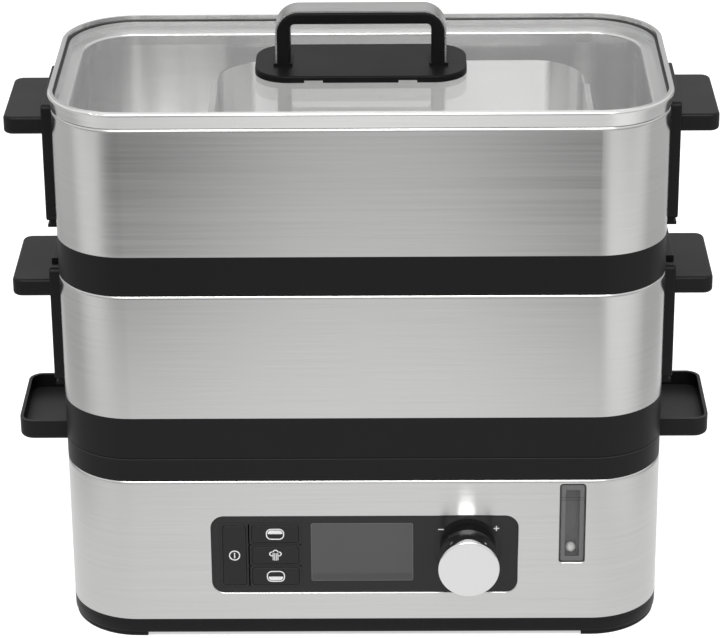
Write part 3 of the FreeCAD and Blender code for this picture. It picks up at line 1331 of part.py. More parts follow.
def make_lid_handle():
    """Bow handle: two posts and a bar with rounded shoulders, on small feet."""
    body = new_piece("lid_handle")
    height = "(dims.bow_height - dims.trim_thickness)"
    arch = (
        "dims.bow_width - 2 * dims.trim_thickness",
        f"{height} + 2 * dims.bow_radius",
        "dims.bow_radius - dims.trim_thickness",
    )
    back = "-dims.bow_depth / 2"
    arch_middle = f"{PLATE_TOP} + {height} / 2 - dims.bow_radius"
    add_block(body, "arch", *arch, back, "dims.bow_depth", FRONT, ("0", arch_middle))
    gap_height = "(dims.bow_height - dims.bow_bar)"
    gap = (
        "dims.bow_width - 2 * dims.bow_post",
        f"{gap_height} + 2 * dims.bow_radius",
        "dims.bow_inner_radius",
    )
    gap_middle = f"{PLATE_TOP} + {gap_height} / 2 - dims.bow_radius"
    cut_block(body, "finger_gap", *gap, back, "dims.bow_depth", FRONT, ("0", gap_middle))
    below = ("dims.bow_width", "2 * dims.bow_radius", None)
    below_middle = f"{PLATE_TOP} - dims.bow_radius"
    cut_block(body, "below", *below, back, "dims.bow_depth", FRONT, ("0", below_middle))
    for normal in (-1, 1):
        word = "front" if normal < 0 else "back"
        soften(body, f"{word}_edge", "dims.bow_edge", (0, normal, 0), number("dims.bow_depth / 2"))
    foot = (
        "dims.bow_post + 2 * dims.bow_foot_margin",
        "dims.bow_depth + 2 * dims.bow_foot_margin",
        "dims.bow_foot_margin",
    )
    for side, word in ((-1, "left"), (1, "right")):
        spot = (f"{side} * {LID_SCREW_X}", "0")
        add_block(body, f"{word}_foot", *foot, PLATE_TOP, "dims.bow_foot_height", TOP, spot)
    pilot = "dims.lid_screw_radius + dims.run_gap"
    bite = "dims.lid_screw_bite + dims.fit_gap"
    cut_rods(body, "pilots", pilot, LID_SCREW_SPOTS, PLATE_TOP, bite)
    return body


def make_lid_handle_trim():
    """Steel strip bent over the outside of the bow handle."""
    body = new_piece("lid_handle_trim")
    start = f"({PLATE_TOP} + dims.bow_foot_height)"
    back = "-(dims.bow_depth / 2 - dims.bow_edge)"
    depth = "dims.bow_depth - 2 * dims.bow_edge"
    outside = ("dims.bow_width", "dims.bow_height + 2 * dims.bow_radius", "dims.bow_radius")
    middle = f"{PLATE_TOP} + dims.bow_height / 2 - dims.bow_radius"
    add_block(body, "strip", *outside, back, depth, FRONT, ("0", middle))
    thin = "(dims.trim_thickness - dims.run_gap)"
    inside = (
        f"dims.bow_width - 2 * {thin}",
        f"dims.bow_height - {thin} + 2 * dims.bow_radius",
        f"dims.bow_radius - {thin}",
    )
    inside_middle = f"{PLATE_TOP} + (dims.bow_height - {thin}) / 2 - dims.bow_radius"
    cut_block(body, "inside", *inside, back, depth, FRONT, ("0", inside_middle))
    below = ("dims.bow_width", "2 * dims.bow_radius + dims.bow_foot_height", None)
    below_middle = f"{start} - dims.bow_radius - dims.bow_foot_height / 2"
    cut_block(body, "below", *below, back, depth, FRONT, ("0", below_middle))
    return body


def make_lid_washers():
    """Soft washers between the glass and the heads of the handle's screws."""
    body = new_piece("lid_washers")
    bottom = f"{GLASS_BOTTOM} - dims.washer_thickness"
    add_rods(body, "washers", "dims.washer_radius", LID_SCREW_SPOTS, bottom, "dims.washer_thickness")
    hole = "dims.lid_screw_radius + dims.fit_gap"
    cut_rods(body, "holes", hole, LID_SCREW_SPOTS, bottom, "dims.washer_thickness")
    return body


def make_lid_screws():
    """Screws from under the glass up into the posts of the handle."""
    body = new_piece("lid_screws")
    head_top = f"({GLASS_BOTTOM} - dims.washer_thickness)"
    head_bottom = f"{head_top} - dims.lid_head_height"
    add_rods(body, "heads", "dims.lid_head_radius", LID_SCREW_SPOTS, head_bottom, "dims.lid_head_height")
    length = f"{PLATE_TOP} + dims.lid_screw_bite - {head_top}"
    add_rods(body, "shanks", "dims.lid_screw_radius", LID_SCREW_SPOTS, head_top, length)
    return body


def build():
    """Make every sub-part, from the floor up."""
    pieces = [
        make_feet(),
        make_base_pan(),
        make_base_screws(),
        make_base_housing(),
        make_base_collar(),
        make_water_tank(),
        make_heater_plate(),
        make_heater_seal(),
        make_heating_element(),
        make_thermostat(),
        make_control_panel(),
        make_display_window(),
        make_display_module(),
        make_control_board(),
        make_board_screws(),
        make_key_switches(),
        make_knob_encoder(),
        make_knob_shaft(),
        make_knob_hub(),
        make_knob_cap(),
        make_gauge_window(),
        make_gauge_channel(),
        make_gauge_float(),
        make_cord_gland(),
        make_gland_nut(),
        make_power_board(),
        make_power_relay(),
        make_terminal_block(),
        make_drip_tray(),
        make_rice_tray(),
        make_lid_rim(),
        make_lid_gasket(),
        make_lid_glass(),
        make_lid_plate(),
        make_lid_handle(),
        make_lid_handle_trim(),
        make_lid_washers(),
        make_lid_screws(),
    ]
    for label, sizes in KEYS.items():
        pieces.append(make_key(label, *sizes))
    pieces += make_container("lower", LOWER_WALL_BOTTOM, "dims.lower_ring_height", SEAT_LIP_INSET, True)
    pieces += make_container("upper", UPPER_WALL_BOTTOM, "dims.upper_ring_height", RIM_LIP_INSET, False)
    return pieces


def check(pieces):
    """Stop if anything in the document failed or a sub-part has no sound shape."""
    for item in document.Objects:
        if "Invalid" in item.State or "Error" in item.State:
            raise RuntimeError(f"{item.Label} failed to build")
    for piece in pieces:
        if piece.Shape.isNull() or not piece.Shape.isValid() or not piece.Shape.Solids:
            raise RuntimeError(f"{piece.Label} has no valid solid")


def export(pieces):
    """Write each sub-part to its own file, named for its label."""
    os.makedirs("parts", exist_ok=True)
    for piece in pieces:
        piece.Shape.exportStep(f"parts/{piece.Label}.step")


steamer = build()
document.recompute()
check(steamer)
export(steamer)
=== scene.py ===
"""Looks of a two-tier food steamer: finishes for its solids, printed marks, and a plain studio."""

import math

import bmesh
import bpy
from mathutils import Matrix, Vector


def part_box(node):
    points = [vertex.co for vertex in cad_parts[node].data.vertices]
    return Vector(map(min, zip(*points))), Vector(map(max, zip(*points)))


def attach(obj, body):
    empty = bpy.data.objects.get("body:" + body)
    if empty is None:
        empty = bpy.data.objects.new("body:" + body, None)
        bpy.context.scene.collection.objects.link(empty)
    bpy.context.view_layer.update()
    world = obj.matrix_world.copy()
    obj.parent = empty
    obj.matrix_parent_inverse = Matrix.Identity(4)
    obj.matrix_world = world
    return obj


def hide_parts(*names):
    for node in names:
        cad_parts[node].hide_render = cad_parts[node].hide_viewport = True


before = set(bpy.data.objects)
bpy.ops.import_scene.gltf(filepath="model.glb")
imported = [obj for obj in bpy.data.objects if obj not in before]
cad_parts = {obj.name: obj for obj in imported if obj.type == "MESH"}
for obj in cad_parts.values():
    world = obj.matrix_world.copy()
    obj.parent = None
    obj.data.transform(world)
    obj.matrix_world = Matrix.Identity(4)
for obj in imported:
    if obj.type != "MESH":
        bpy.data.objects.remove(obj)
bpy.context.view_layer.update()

bl_info = {
    "name": "Food steamer looks",
    "version": (1, 0, 0),
    "blender": (4, 5, 0),
    "location": "View3D > Sidebar > Steamer",
    "description": "Finishes, printed marks and studio for a two-tier food steamer",
    "category": "Object",
}

MILLIMETRE = 0.001
KEYS = ("power_key", "upper_tier_key", "steam_key", "lower_tier_key")

# Corners of a rounded outline: the side in both directions, and the angle where the arc starts.
CORNERS = ((1, 1, 0), (-1, 1, 90), (-1, -1, 180), (1, -1, 270))
CORNER_STEPS = 16
SHARP_ANGLE = math.radians(40)
WELD_GRID = 1e7  # Printed corners in the same cell of this many per metre are one.
LEVEL_LIMIT = 0.001  # Faces nearer to level than this look neither inward nor outward.


class Wire:
    """One socket of a node tree; arithmetic on it adds Math nodes."""

    def __init__(self, finish, socket):
        self.finish = finish
        self.socket = socket

    def math(self, operation, first, second):
        return self.finish.add("ShaderNodeMath", {"operation": operation}, {0: first, 1: second})

    def __add__(self, other):
        return self.math("ADD", self, other)

    __radd__ = __add__

    def __sub__(self, other):
        return self.math("SUBTRACT", self, other)

    def __rsub__(self, other):
        return self.math("SUBTRACT", other, self)

    def __mul__(self, other):
        return self.math("MULTIPLY", self, other)

    __rmul__ = __mul__

    def __pow__(self, other):
        return self.math("POWER", self, other)

    def at_least(self, other):
        return self.math("MAXIMUM", self, other)

    def above(self, limit):
        return self.math("GREATER_THAN", self, limit)

    def below(self, limit):
        return self.math("LESS_THAN", self, limit)

    def unsigned(self):
        return self.math("ABSOLUTE", self, 0.0)


class Finish:
    """The node tree of a material or a world that is being built."""

    def __init__(self, holder):
        holder.use_nodes = True
        self.holder = holder
        self.tree = holder.node_tree
        self.tree.nodes.clear()

    def add(self, kind, settings=None, sockets=None, output=0):
        """Add a node: its settings first, then the values or links of its sockets."""
        node = self.tree.nodes.new(kind)
        for name, value in (settings or {}).items():
            if name == "stops":
                set_stops(node.color_ramp, value)
            else:
                setattr(node, name, value)
        for name, value in (sockets or {}).items():
            if isinstance(value, Wire):
                self.tree.links.new(value.socket, node.inputs[name])
            else:
                node.inputs[name].default_value = value
        return Wire(self, node.outputs[output]) if node.outputs else None

    def light_path(self, name):
        """Whether a ray is of one kind."""
        return self.add("ShaderNodeLightPath", output=name)

    def place(self):
        """Where a point lies on the piece, in metres."""
        return self.add("ShaderNodeTexCoord", output="Object")

    def facing(self):
        """Which way a face looks."""
        return self.add("ShaderNodeTexCoord", output="Normal")

    def axis(self, vector, name):
        """One of a vector's three numbers."""
        return self.add("ShaderNodeSeparateXYZ", None, {0: vector}, name)

    def vector(self, operation, first, second, output="Vector"):
        """Vector maths on two vectors."""
        sockets = {0: first, 1: second}
        return self.add("ShaderNodeVectorMath", {"operation": operation}, sockets, output)

    def ramp(self, value, stops):
        """Grey level that follows a value through stops."""
        return self.add("ShaderNodeValToRGB", {"stops": stops}, {"Fac": value})

    def noise(self, cells, roughness=0.5, detail=2.0):
        """Noise between 0 and 1; its cells per metre are one number, or one for each axis."""
        scale = cells if isinstance(cells, tuple) else (cells, cells, cells)
        stretched = self.vector("MULTIPLY", self.place(), scale)
        sockets = {"Vector": stretched, "Scale": 1.0, "Detail": detail, "Roughness": roughness}
        return self.add("ShaderNodeTexNoise", {"noise_dimensions": "3D"}, sockets)

    def brushing(self):
        """Fine lines and broader streaks of brushing along an upright wall."""
        return self.noise((14.0, 14.0, 2300.0), 0.6), self.noise((4.0, 4.0, 520.0))

    def blend(self, factor, first, second):
        """Colour between two colours."""
        sockets = {0: factor, 6: first, 7: second}
        return self.add("ShaderNodeMix", {"data_type": "RGBA"}, sockets, 2)

    def waver(self, factor, colour, darkest, lightest):
        """Colour that wavers between two shades of one colour."""
        return self.blend(factor, shade(colour, darkest), shade(colour, lightest))

    def square_to(self, axis):
        """1 on faces square to an axis, falling off fast on sloping ones."""
        straight = self.axis(self.facing(), axis)
        return (straight * straight) ** 4.0

    def facing_ends(self, start, full):
        """1 on faces that look left or right, growing from 0 between two slants round the corners."""
        return self.ramp(self.axis(self.facing(), "X").unsigned(), [(start, 0.0), (full, 1.0)])

    def outwardness(self):
        """Above 0 on upright faces that look away from the middle, below 0 on those that look to it."""
        level = self.vector("MULTIPLY", self.place(), (1.0, 1.0, 0.0))
        return self.vector("DOT_PRODUCT", self.facing(), level, "Value")

    def facing_inward(self):
        """1 on upright faces that look towards the middle of the part."""
        return self.outwardness().below(-LEVEL_LIMIT)

    def facing_outward(self):
        """1 on upright faces that look away from the middle of the part."""
        return self.outwardness().above(LEVEL_LIMIT)

    def bump(self, height, strength, distance):
        """Normal that follows a height."""
        sockets = {"Height": height, "Strength": strength, "Distance": distance}
        return self.add("ShaderNodeBump", None, sockets)

    def principled(self, **sockets):
        """Principled surface; an underscore in a socket's name stands for a space."""
        named = {name.replace("_", " "): value for name, value in sockets.items()}
        return self.add("ShaderNodeBsdfPrincipled", None, named)

    def close(self, surface):
        """Feed the surface to the output and hand back the material."""
        self.add("ShaderNodeOutputMaterial", None, {"Surface": surface})
        return self.holder


def set_stops(ramp, stops):
    """Give a colour ramp its stops, each a place and a grey level."""
    while len(ramp.elements) < len(stops):
        ramp.elements.new(0.5)
    for element, (position, level) in zip(ramp.elements, stops):
        element.position = position
        element.color = (level, level, level, 1.0)


def shade(colour, factor):
    """A colour made darker or lighter."""
    return tuple(channel * factor for channel in colour[:3]) + (1.0,)


def dress(material, *nodes):
    """Give solids of the frame a finish."""
    for name in nodes:
        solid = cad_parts[name]
        if not solid.material_slots:
            raise RuntimeError(f"{name} has no material slot")
        for slot in solid.material_slots:
            slot.material = material


COLOUR = {"subtype": "COLOR", "size": 4, "min": 0.0, "max": 1.0}
LENGTH = {"subtype": "DISTANCE", "unit": "LENGTH"}
ANGLE = {"subtype": "ANGLE", "unit": "ROTATION"}
POWER = {"subtype": "POWER", "unit": "POWER"}


class SteamerFinishes(bpy.types.PropertyGroup):
    """Colours of the finishes."""

    steel: bpy.props.FloatVectorProperty(
        name="Steel", description="Brushed steel of the walls and the base",
        default=(0.64, 0.64, 0.635, 1.0), **COLOUR)
    lid_steel: bpy.props.FloatVectorProperty(
        name="Lid steel", description="Brushed steel of the lid's frame",
        default=(0.76, 0.76, 0.755, 1.0), **COLOUR)
    tray_steel: bpy.props.FloatVectorProperty(
        name="Tray steel", description="Satin steel of the tray and the floors",
        default=(0.90, 0.90, 0.895, 1.0), **COLOUR)
    black: bpy.props.FloatVectorProperty(
        name="Black plastic", description="Moulded plastic of the rings, handles, collar and pan",
        default=(0.0070, 0.0070, 0.0072, 1.0), **COLOUR)
    panel: bpy.props.FloatVectorProperty(
        name="Panel", description="Dark film of the control panel",
        default=(0.0150, 0.0150, 0.0155, 1.0), **COLOUR)
    keys: bpy.props.FloatVectorProperty(
        name="Keys", description="Dark film of the keys",
        default=(0.0105, 0.0105, 0.0110, 1.0), **COLOUR)
    display: bpy.props.FloatVectorProperty(
        name="Display", description="Unlit display behind its lens",
        default=(0.074, 0.074, 0.075, 1.0), **COLOUR)
    marks: bpy.props.FloatVectorProperty(
        name="Marks", description="Print on the keys and the panel",
        default=(0.72, 0.72, 0.72, 1.0), **COLOUR)
    chrome: bpy.props.FloatVectorProperty(
        name="Knob face", description="Turned metal of the knob's cap",
        default=(0.80, 0.80, 0.80, 1.0), **COLOUR)
    float_white: bpy.props.FloatVectorProperty(
        name="Float", description="Float of the water gauge",
        default=(0.82, 0.82, 0.81, 1.0), **COLOUR)


class SteamerMarks(bpy.types.PropertyGroup):
    """Sizes of the printed marks and the knob's cap."""

    print_height: bpy.props.FloatProperty(
        name="Print height", description="How far the print stands proud of its face",
        default=0.08 * MILLIMETRE, **LENGTH)
    stroke: bpy.props.FloatProperty(
        name="Stroke", description="Width of the printed lines",
        default=0.72 * MILLIMETRE, **LENGTH)
    power_size: bpy.props.FloatProperty(
        name="Power sign", description="Diameter of the power sign",
        default=6.9 * MILLIMETRE, **LENGTH)
    tier_width: bpy.props.FloatProperty(
        name="Tier sign width", description="Width of the signs for the two containers",
        default=11.2 * MILLIMETRE, **LENGTH)
    tier_height: bpy.props.FloatProperty(
        name="Tier sign height", description="Height of the signs for the two containers",
        default=7.6 * MILLIMETRE, **LENGTH)
    steam_size: bpy.props.FloatProperty(
        name="Steam sign", description="Width of the steam sign",
        default=7.8 * MILLIMETRE, **LENGTH)
    knob_edge: bpy.props.FloatProperty(
        name="Knob edge", description="Radius of the edge round the knob's face",
        default=1.0 * MILLIMETRE, **LENGTH)
    knob_taper: bpy.props.FloatProperty(
        name="Knob taper", description="How far the knob's side leans in towards the panel",
        default=math.radians(5.2), **ANGLE)
    gauge_flange: bpy.props.FloatProperty(
        name="Gauge flange", description="Edge of the gauge's window that lies behind the steel",
        default=1.05 * MILLIMETRE, **LENGTH)
    sign_length: bpy.props.FloatProperty(
        name="Minus and plus", description="Length of the strokes beside the knob",
        default=3.4 * MILLIMETRE, **LENGTH)


class SteamerStudio(bpy.types.PropertyGroup):
    """Base outline, camera, lamps and floor."""

    corner_radius: bpy.props.FloatProperty(
        name="Corner radius", description="Radius of the base outline's corners",
        default=43.0 * MILLIMETRE, **LENGTH)
    collar_height: bpy.props.FloatProperty(
        name="Collar height", description="Height of the base's collar above its steel",
        default=14.6 * MILLIMETRE, **LENGTH)
    pad_reach: bpy.props.FloatProperty(
        name="Pad reach", description="How far the pads run on along the straight sides",
        default=5.5 * MILLIMETRE, **LENGTH)

    lens: bpy.props.FloatProperty(
        name="Lens", description="Focal length in millimetres on a 36 mm sensor", default=154.515)
    camera_place: bpy.props.FloatVectorProperty(
        name="Camera place", description="Where the camera stands",
        subtype="XYZ", unit="LENGTH", size=3, default=(0.019105, -1.748592, 0.968945))
    camera_pitch: bpy.props.FloatProperty(
        name="Pitch", description="How far the camera looks down",
        default=0.423, **ANGLE)
    camera_yaw: bpy.props.FloatProperty(
        name="Yaw", description="How far the camera looks to the right",
        default=-0.012, **ANGLE)
    camera_roll: bpy.props.FloatProperty(
        name="Roll", description="How far the camera leans",
        default=-0.009, **ANGLE)
    floor_size: bpy.props.FloatProperty(
        name="Floor", description="Width of the floor",
        default=14.0, **LENGTH)
    sky_light: bpy.props.FloatProperty(
        name="Sky", description="Light of the white surroundings on matt surfaces", default=0.55)
    front_lamp: bpy.props.FloatProperty(
        name="Front lamp", description="Power of the softbox above the front",
        default=26.0, **POWER)
    side_lamp: bpy.props.FloatProperty(
        name="Side lamps", description="Power of each softbox at the sides",
        default=12.0, **POWER)


def finishes():
    """Colours that a user can change."""
    return bpy.context.scene.steamer_finishes


def marks():
    """Sizes of the marks that a user can change."""
    return bpy.context.scene.steamer_marks


def studio():
    """Settings of the base outline and the studio that a user can change."""
    return bpy.context.scene.steamer_studio


def lid_steel(name, colour, roughness, lip_top, shaded_end_stops):
    """Steel of the lid's frame: brushed skirt, blasted top, and painted shade: darker level faces at
    the far ends and a darker inner lip.
    """
    finish = Finish(bpy.data.materials.new(name))
    lines, streaks = finish.brushing()
    level = finish.square_to("Z")
    # Painted shade: the inner lip below the top of the upper wall is darkened.
    lip = finish.axis(finish.place(), "Z").below(lip_top)
    # Painted shade: level faces are darkened towards the far ends.
    far = finish.ramp(finish.axis(finish.place(), "X").unsigned(), shaded_end_stops)
    skirt = finish.waver(0.6 * lines + 0.4 * streaks, colour, 0.86, 1.12)
    lip_painted_shade = finish.blend(lip, skirt, shade(colour, 0.62))
    surface = finish.principled(
        Base_Color=finish.blend(level * far, lip_painted_shade, shade(colour, 0.58)),
        Metallic=1.0 - 0.35 * level, Roughness=roughness - 0.05 + 0.1 * streaks + 0.2 * level,
        Anisotropic=0.8, Anisotropic_Rotation=0.25, Normal=finish.bump(lines, 0.12, 0.00004))
    return finish.close(surface)


def brushed_steel(name, colour, roughness):
    """Steel brushed along its length, with painted sheen (lighter upright streaks) on inward faces and
    painted shade at the inner ends.
    """
    finish = Finish(bpy.data.materials.new(name))
    lines, streaks = finish.brushing()
    cloud = finish.noise((9.0, 9.0, 12.0))
    inside = finish.facing_inward()
    # Painted sheen: lighter upright streaks on inward faces.
    sheen = finish.ramp(finish.noise((42.0, 42.0, 0.8)), [(0.42, 0.0), (0.62, 1.0)])
    brushed = finish.waver(0.55 * lines + 0.3 * streaks + 0.15 * cloud, colour, 0.86, 1.12)
    painted_sheen_colour = finish.blend(inside * sheen, brushed, shade(colour, 1.3))
    # Painted shade: inward faces at the ends are darkened.
    shaded_inner_end = inside * finish.facing_ends(0.06, 0.2)
    surface = finish.principled(
        Base_Color=finish.blend(shaded_inner_end, painted_sheen_colour, shade(colour, 0.75)),
        Metallic=1.0, Roughness=roughness - 0.05 + 0.1 * streaks,
        Anisotropic=0.8, Anisotropic_Rotation=0.25, Normal=finish.bump(lines, 0.12, 0.00004))
    return finish.close(surface)


def blasted_steel(name, colour, roughness, rim_height, shaded_end_reach):
    """Pressed tray: blasted matt inside along its length; darker and metallic at its ends and outside,
    the darkening at the ends being painted shade.
    """
    finish = Finish(bpy.data.materials.new(name))
    grain = finish.noise(900.0, 0.6)
    cloud = finish.noise(18.0)
    low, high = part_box("rice_tray")
    under_rim = ((low.x + high.x) / 2, 0.0, high.z - rim_height)
    spot = finish.vector("SUBTRACT", finish.place(), under_rim)
    # Painted shade: the rim near each end and the inward faces at the ends are darkened; the outward
    # faces take the same darker metallic colour.
    far = finish.axis(spot, "X").unsigned().above((high.x - low.x) / 2 - shaded_end_reach)
    shaded_rim_end = far * finish.axis(spot, "Z").above(0.0)
    shaded_inner_end = finish.facing_ends(0.24, 0.38) * finish.facing_inward()
    satin_and_shade = shaded_inner_end.at_least(shaded_rim_end).at_least(finish.facing_outward())
    blasted = finish.waver(0.5 * grain + 0.5 * cloud, colour, 1.02, 1.1)
    surface = finish.principled(
        Base_Color=finish.blend(satin_and_shade, blasted, shade(colour, 0.52)), Metallic=0.2 + 0.8 * satin_and_shade,
        Roughness=roughness - 0.04 + 0.08 * cloud + 0.2 * (1.0 - satin_and_shade),
        Normal=finish.bump(grain, 0.06, 0.00004))
    return finish.close(surface)


def satin_steel(name, colour, roughness):
    """Pressed steel with a soft, even sheen."""
    finish = Finish(bpy.data.materials.new(name))
    grain = finish.noise(900.0, 0.6)
    cloud = finish.noise(18.0)
    surface = finish.principled(
        Base_Color=finish.waver(0.5 * grain + 0.5 * cloud, colour, 0.92, 1.06), Metallic=1.0,
        Roughness=roughness - 0.04 + 0.08 * cloud, Normal=finish.bump(grain, 0.06, 0.00004))
    return finish.close(surface)


def lid_seal(name, colour, line, line_bottom):
    """Pale seal round the glass with a dark bead along its top."""
    finish = Finish(bpy.data.materials.new(name))
    cloud = finish.noise(60.0)
    bead = finish.axis(finish.place(), "Z").above(line_bottom)
    base = finish.blend(bead, finish.waver(cloud, colour, 0.9, 1.1), line)
    return finish.close(finish.principled(Base_Color=base, Roughness=0.5 + 0.1 * cloud))


def moulded_plastic(
        name, colour, roughness, grain_size=0.0006, strength=0.18, specular=0.16, top_light_gain=1.0):
    """Moulded plastic with a fine grain and uneven gloss; level faces can be painted paler as painted
    top light.
    """
    finish = Finish(bpy.data.materials.new(name))
    grain = finish.noise(1.0 / grain_size, 0.55)
    cloud = finish.noise(25.0)
    base = finish.waver(0.4 * grain + 0.6 * cloud, colour, 0.86, 1.14)
    # Painted light: level faces made paler, as if lit from above.
    if top_light_gain != 1.0:
        base = finish.blend(finish.square_to("Z"), base, shade(colour, top_light_gain))
    surface = finish.principled(
        Base_Color=base, Roughness=roughness - 0.05 + 0.1 * cloud, Specular_IOR_Level=specular,
        Normal=finish.bump(grain, strength, 0.00005))
    return finish.close(surface)


def glossy_film(name, colour, roughness, specular=0.3):
    """Smooth film with a faint texture."""
    finish = Finish(bpy.data.materials.new(name))
    grain = finish.noise(1400.0)
    cloud = finish.noise(20.0)
    surface = finish.principled(
        Base_Color=finish.waver(cloud, colour, 0.93, 1.07), Specular_IOR_Level=specular,
        Roughness=roughness - 0.02 + 0.04 * cloud, Normal=finish.bump(grain, 0.04, 0.00002))
    return finish.close(surface)


def clear_pane(name, tint, gloss_roughness):
    """Thin clear sheet: light passes straight through, and gloss grows towards the edge of view."""
    finish = Finish(bpy.data.materials.new(name))
    smear = finish.noise(16.0, 0.55, 3.0)
    slant = finish.add("ShaderNodeLayerWeight", None, {"Blend": 0.5}, "Facing")
    weight = 0.04 + 0.96 * slant ** 5.0
    through = finish.add("ShaderNodeBsdfTransparent", None, {"Color": tint})
    gloss = finish.principled(
        Base_Color=(0.95, 0.95, 0.95, 1.0), Metallic=1.0, Roughness=gloss_roughness + 0.03 * smear)
    surface = finish.add("ShaderNodeMixShader", None, {0: weight, 1: through, 2: gloss})
    return finish.close(surface)


def turned_metal(name, colour, face_roughness):
    """Knob cap: a turned face with fine rings, and a polished edge behind it."""
    finish = Finish(bpy.data.materials.new(name))
    low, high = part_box("knob_cap")
    middle = (low + high) / 2
    offset = finish.vector("SUBTRACT", finish.place(), (middle.x, low.y, middle.z))
    flat = finish.vector("MULTIPLY", offset, (1.0, 0.0, 1.0))
    radius = finish.add("ShaderNodeVectorMath", {"operation": "LENGTH"}, {0: flat}, "Value")
    ring_sockets = {"W": radius, "Scale": 2600.0}
    rings = finish.add("ShaderNodeTexNoise", {"noise_dimensions": "1D"}, ring_sockets)
    surface = finish.principled(
        Base_Color=finish.waver(rings, colour, 0.94, 1.05), Metallic=1.0,
        Roughness=0.025 + finish.square_to("Y") * (face_roughness - 0.06 + 0.06 * rings))
    return finish.close(surface)


def printed_ink(name, colour):
    """Screen-printed ink, a little uneven."""
    finish = Finish(bpy.data.materials.new(name))
    cloud = finish.noise(900.0)
    base = finish.waver(cloud, colour, 0.92, 1.04)
    return finish.close(finish.principled(Base_Color=base, Roughness=0.5 + 0.1 * cloud))


def circuit_board_finish(name):
    """Solder mask with faint tracks."""
    finish = Finish(bpy.data.materials.new(name))
    tracks = finish.noise((220.0, 220.0, 40.0), 0.4, 1.0)
    base = finish.blend(tracks, (0.012, 0.07, 0.03, 1.0), (0.03, 0.13, 0.055, 1.0))
    surface = finish.principled(
        Base_Color=base, Roughness=0.3 + 0.15 * tracks, Normal=finish.bump(tracks, 0.1, 0.0001))
    return finish.close(surface)


def straight_stroke(start, end, width):
    """Corners of one straight printed line."""
    (x0, z0), (x1, z1) = start, end
    length = math.hypot(x1 - x0, z1 - z0)
    across = ((z0 - z1) / length * width / 2, (x1 - x0) / length * width / 2)
    return [
        (x0 - across[0], z0 - across[1]), (x1 - across[0], z1 - across[1]),
        (x1 + across[0], z1 + across[1]), (x0 + across[0], z0 + across[1])]


def arc_points(centre, radius, start, end, steps):
    """Points along an arc, angles in degrees."""
    points = []
    for step in range(steps + 1):
        angle = math.radians(start + (end - start) * step / steps)
        points.append((centre[0] + radius * math.cos(angle), centre[1] + radius * math.sin(angle)))
    return points


def band(outer, inner, closed=False):
    """Four-sided faces between two rows of points."""
    count = len(outer)
    faces = []
    for i in range(count if closed else count - 1):
        j = (i + 1) % count
        faces.append([outer[i], outer[j], inner[j], inner[i]])
    return faces


def round_box(width, height, radius, steps=6):
    """Outline of a rounded box about the origin, anticlockwise."""
    points = []
    for side_x, side_z, start in CORNERS:
        centre = (side_x * (width / 2 - radius), side_z * (height / 2 - radius))
        points += arc_points(centre, radius, start, start + 90, steps)
    return points


def finished_piece(name, shape, material, smooth=True):
    """Piece of the scene made from a built shape."""
    bmesh.ops.recalc_face_normals(shape, faces=shape.faces)
    mesh = bpy.data.meshes.new(name)
    shape.to_mesh(mesh)
    shape.free()
    if smooth:
        mesh.shade_smooth()
        mesh.set_sharp_from_angle(angle=SHARP_ANGLE)
    mesh.materials.append(material)
    piece = bpy.data.objects.new(name, mesh)
    bpy.context.scene.collection.objects.link(piece)
    return piece


def print_mark(name, faces, centre, face_y, body, material, height=None):
    """Raised print from faces in x and z, on a front face, riding on a body."""
    depth = marks().print_height if height is None else height
    shape = bmesh.new()
    corners = {}
    for face in faces:
        ring = []
        for x, z in face:
            key = (round(x * WELD_GRID), round(z * WELD_GRID))
            if key not in corners:
                corners[key] = shape.verts.new((centre[0] + x, face_y - depth, centre[1] + z))
            if corners[key] not in ring:
                ring.append(corners[key])
        if len(ring) > 2:
            shape.faces.new(ring)
    bmesh.ops.recalc_face_normals(shape, faces=shape.faces)
    for face in shape.faces:
        if face.normal.y > 0:
            face.normal_flip()
    grown = bmesh.ops.extrude_face_region(shape, geom=list(shape.faces), use_keep_orig=True)
    for element in grown["geom"]:
        if isinstance(element, bmesh.types.BMVert):
            element.co.y = face_y + depth
    piece = finished_piece(name, shape, material, smooth=False)
    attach(piece, body)


def corner_stations(half, radius, side_x, side_y, start, reach):
    """Corner of the base outline as stations: an arc's centre, angle and radius.

    The straight reach adds a station before the arc and one after it."""
    centre = (side_x * (half[0] - radius), side_y * (half[1] - radius))
    stations = []
    for step in range(CORNER_STEPS + 1):
        angle = math.radians(start + 90 * step / CORNER_STEPS)
        stations.append((centre, angle, radius))
    if reach:
        first, last = stations[0][1], stations[-1][1]
        ahead = (centre[0] + reach * math.sin(first), centre[1] - reach * math.cos(first))
        after = (centre[0] - reach * math.sin(last), centre[1] + reach * math.cos(last))
        stations = [(ahead, first, radius)] + stations + [(after, last, radius)]
    return stations


def sweep(name, stations, profile, centre_y, closed, material):
    """Carry a closed profile of inset and height along stations of the base outline."""
    shape = bmesh.new()
    rows = []
    for (x, y), angle, radius in stations:
        row = []
        for inset, z in profile:
            reach = radius - inset
            place = (x + reach * math.cos(angle), centre_y + y + reach * math.sin(angle), z)
            row.append(shape.verts.new(place))
        rows.append(row)
    count = len(rows)
    corners = len(profile)
    for i in range(count if closed else count - 1):
        first, second = rows[i], rows[(i + 1) % count]
        for j in range(corners):
            k = (j + 1) % corners
            shape.faces.new((first[j], second[j], second[k], first[k]))
    if not closed:
        shape.faces.new(rows[0])
        shape.faces.new(rows[-1])
    return finished_piece(name, shape, material)


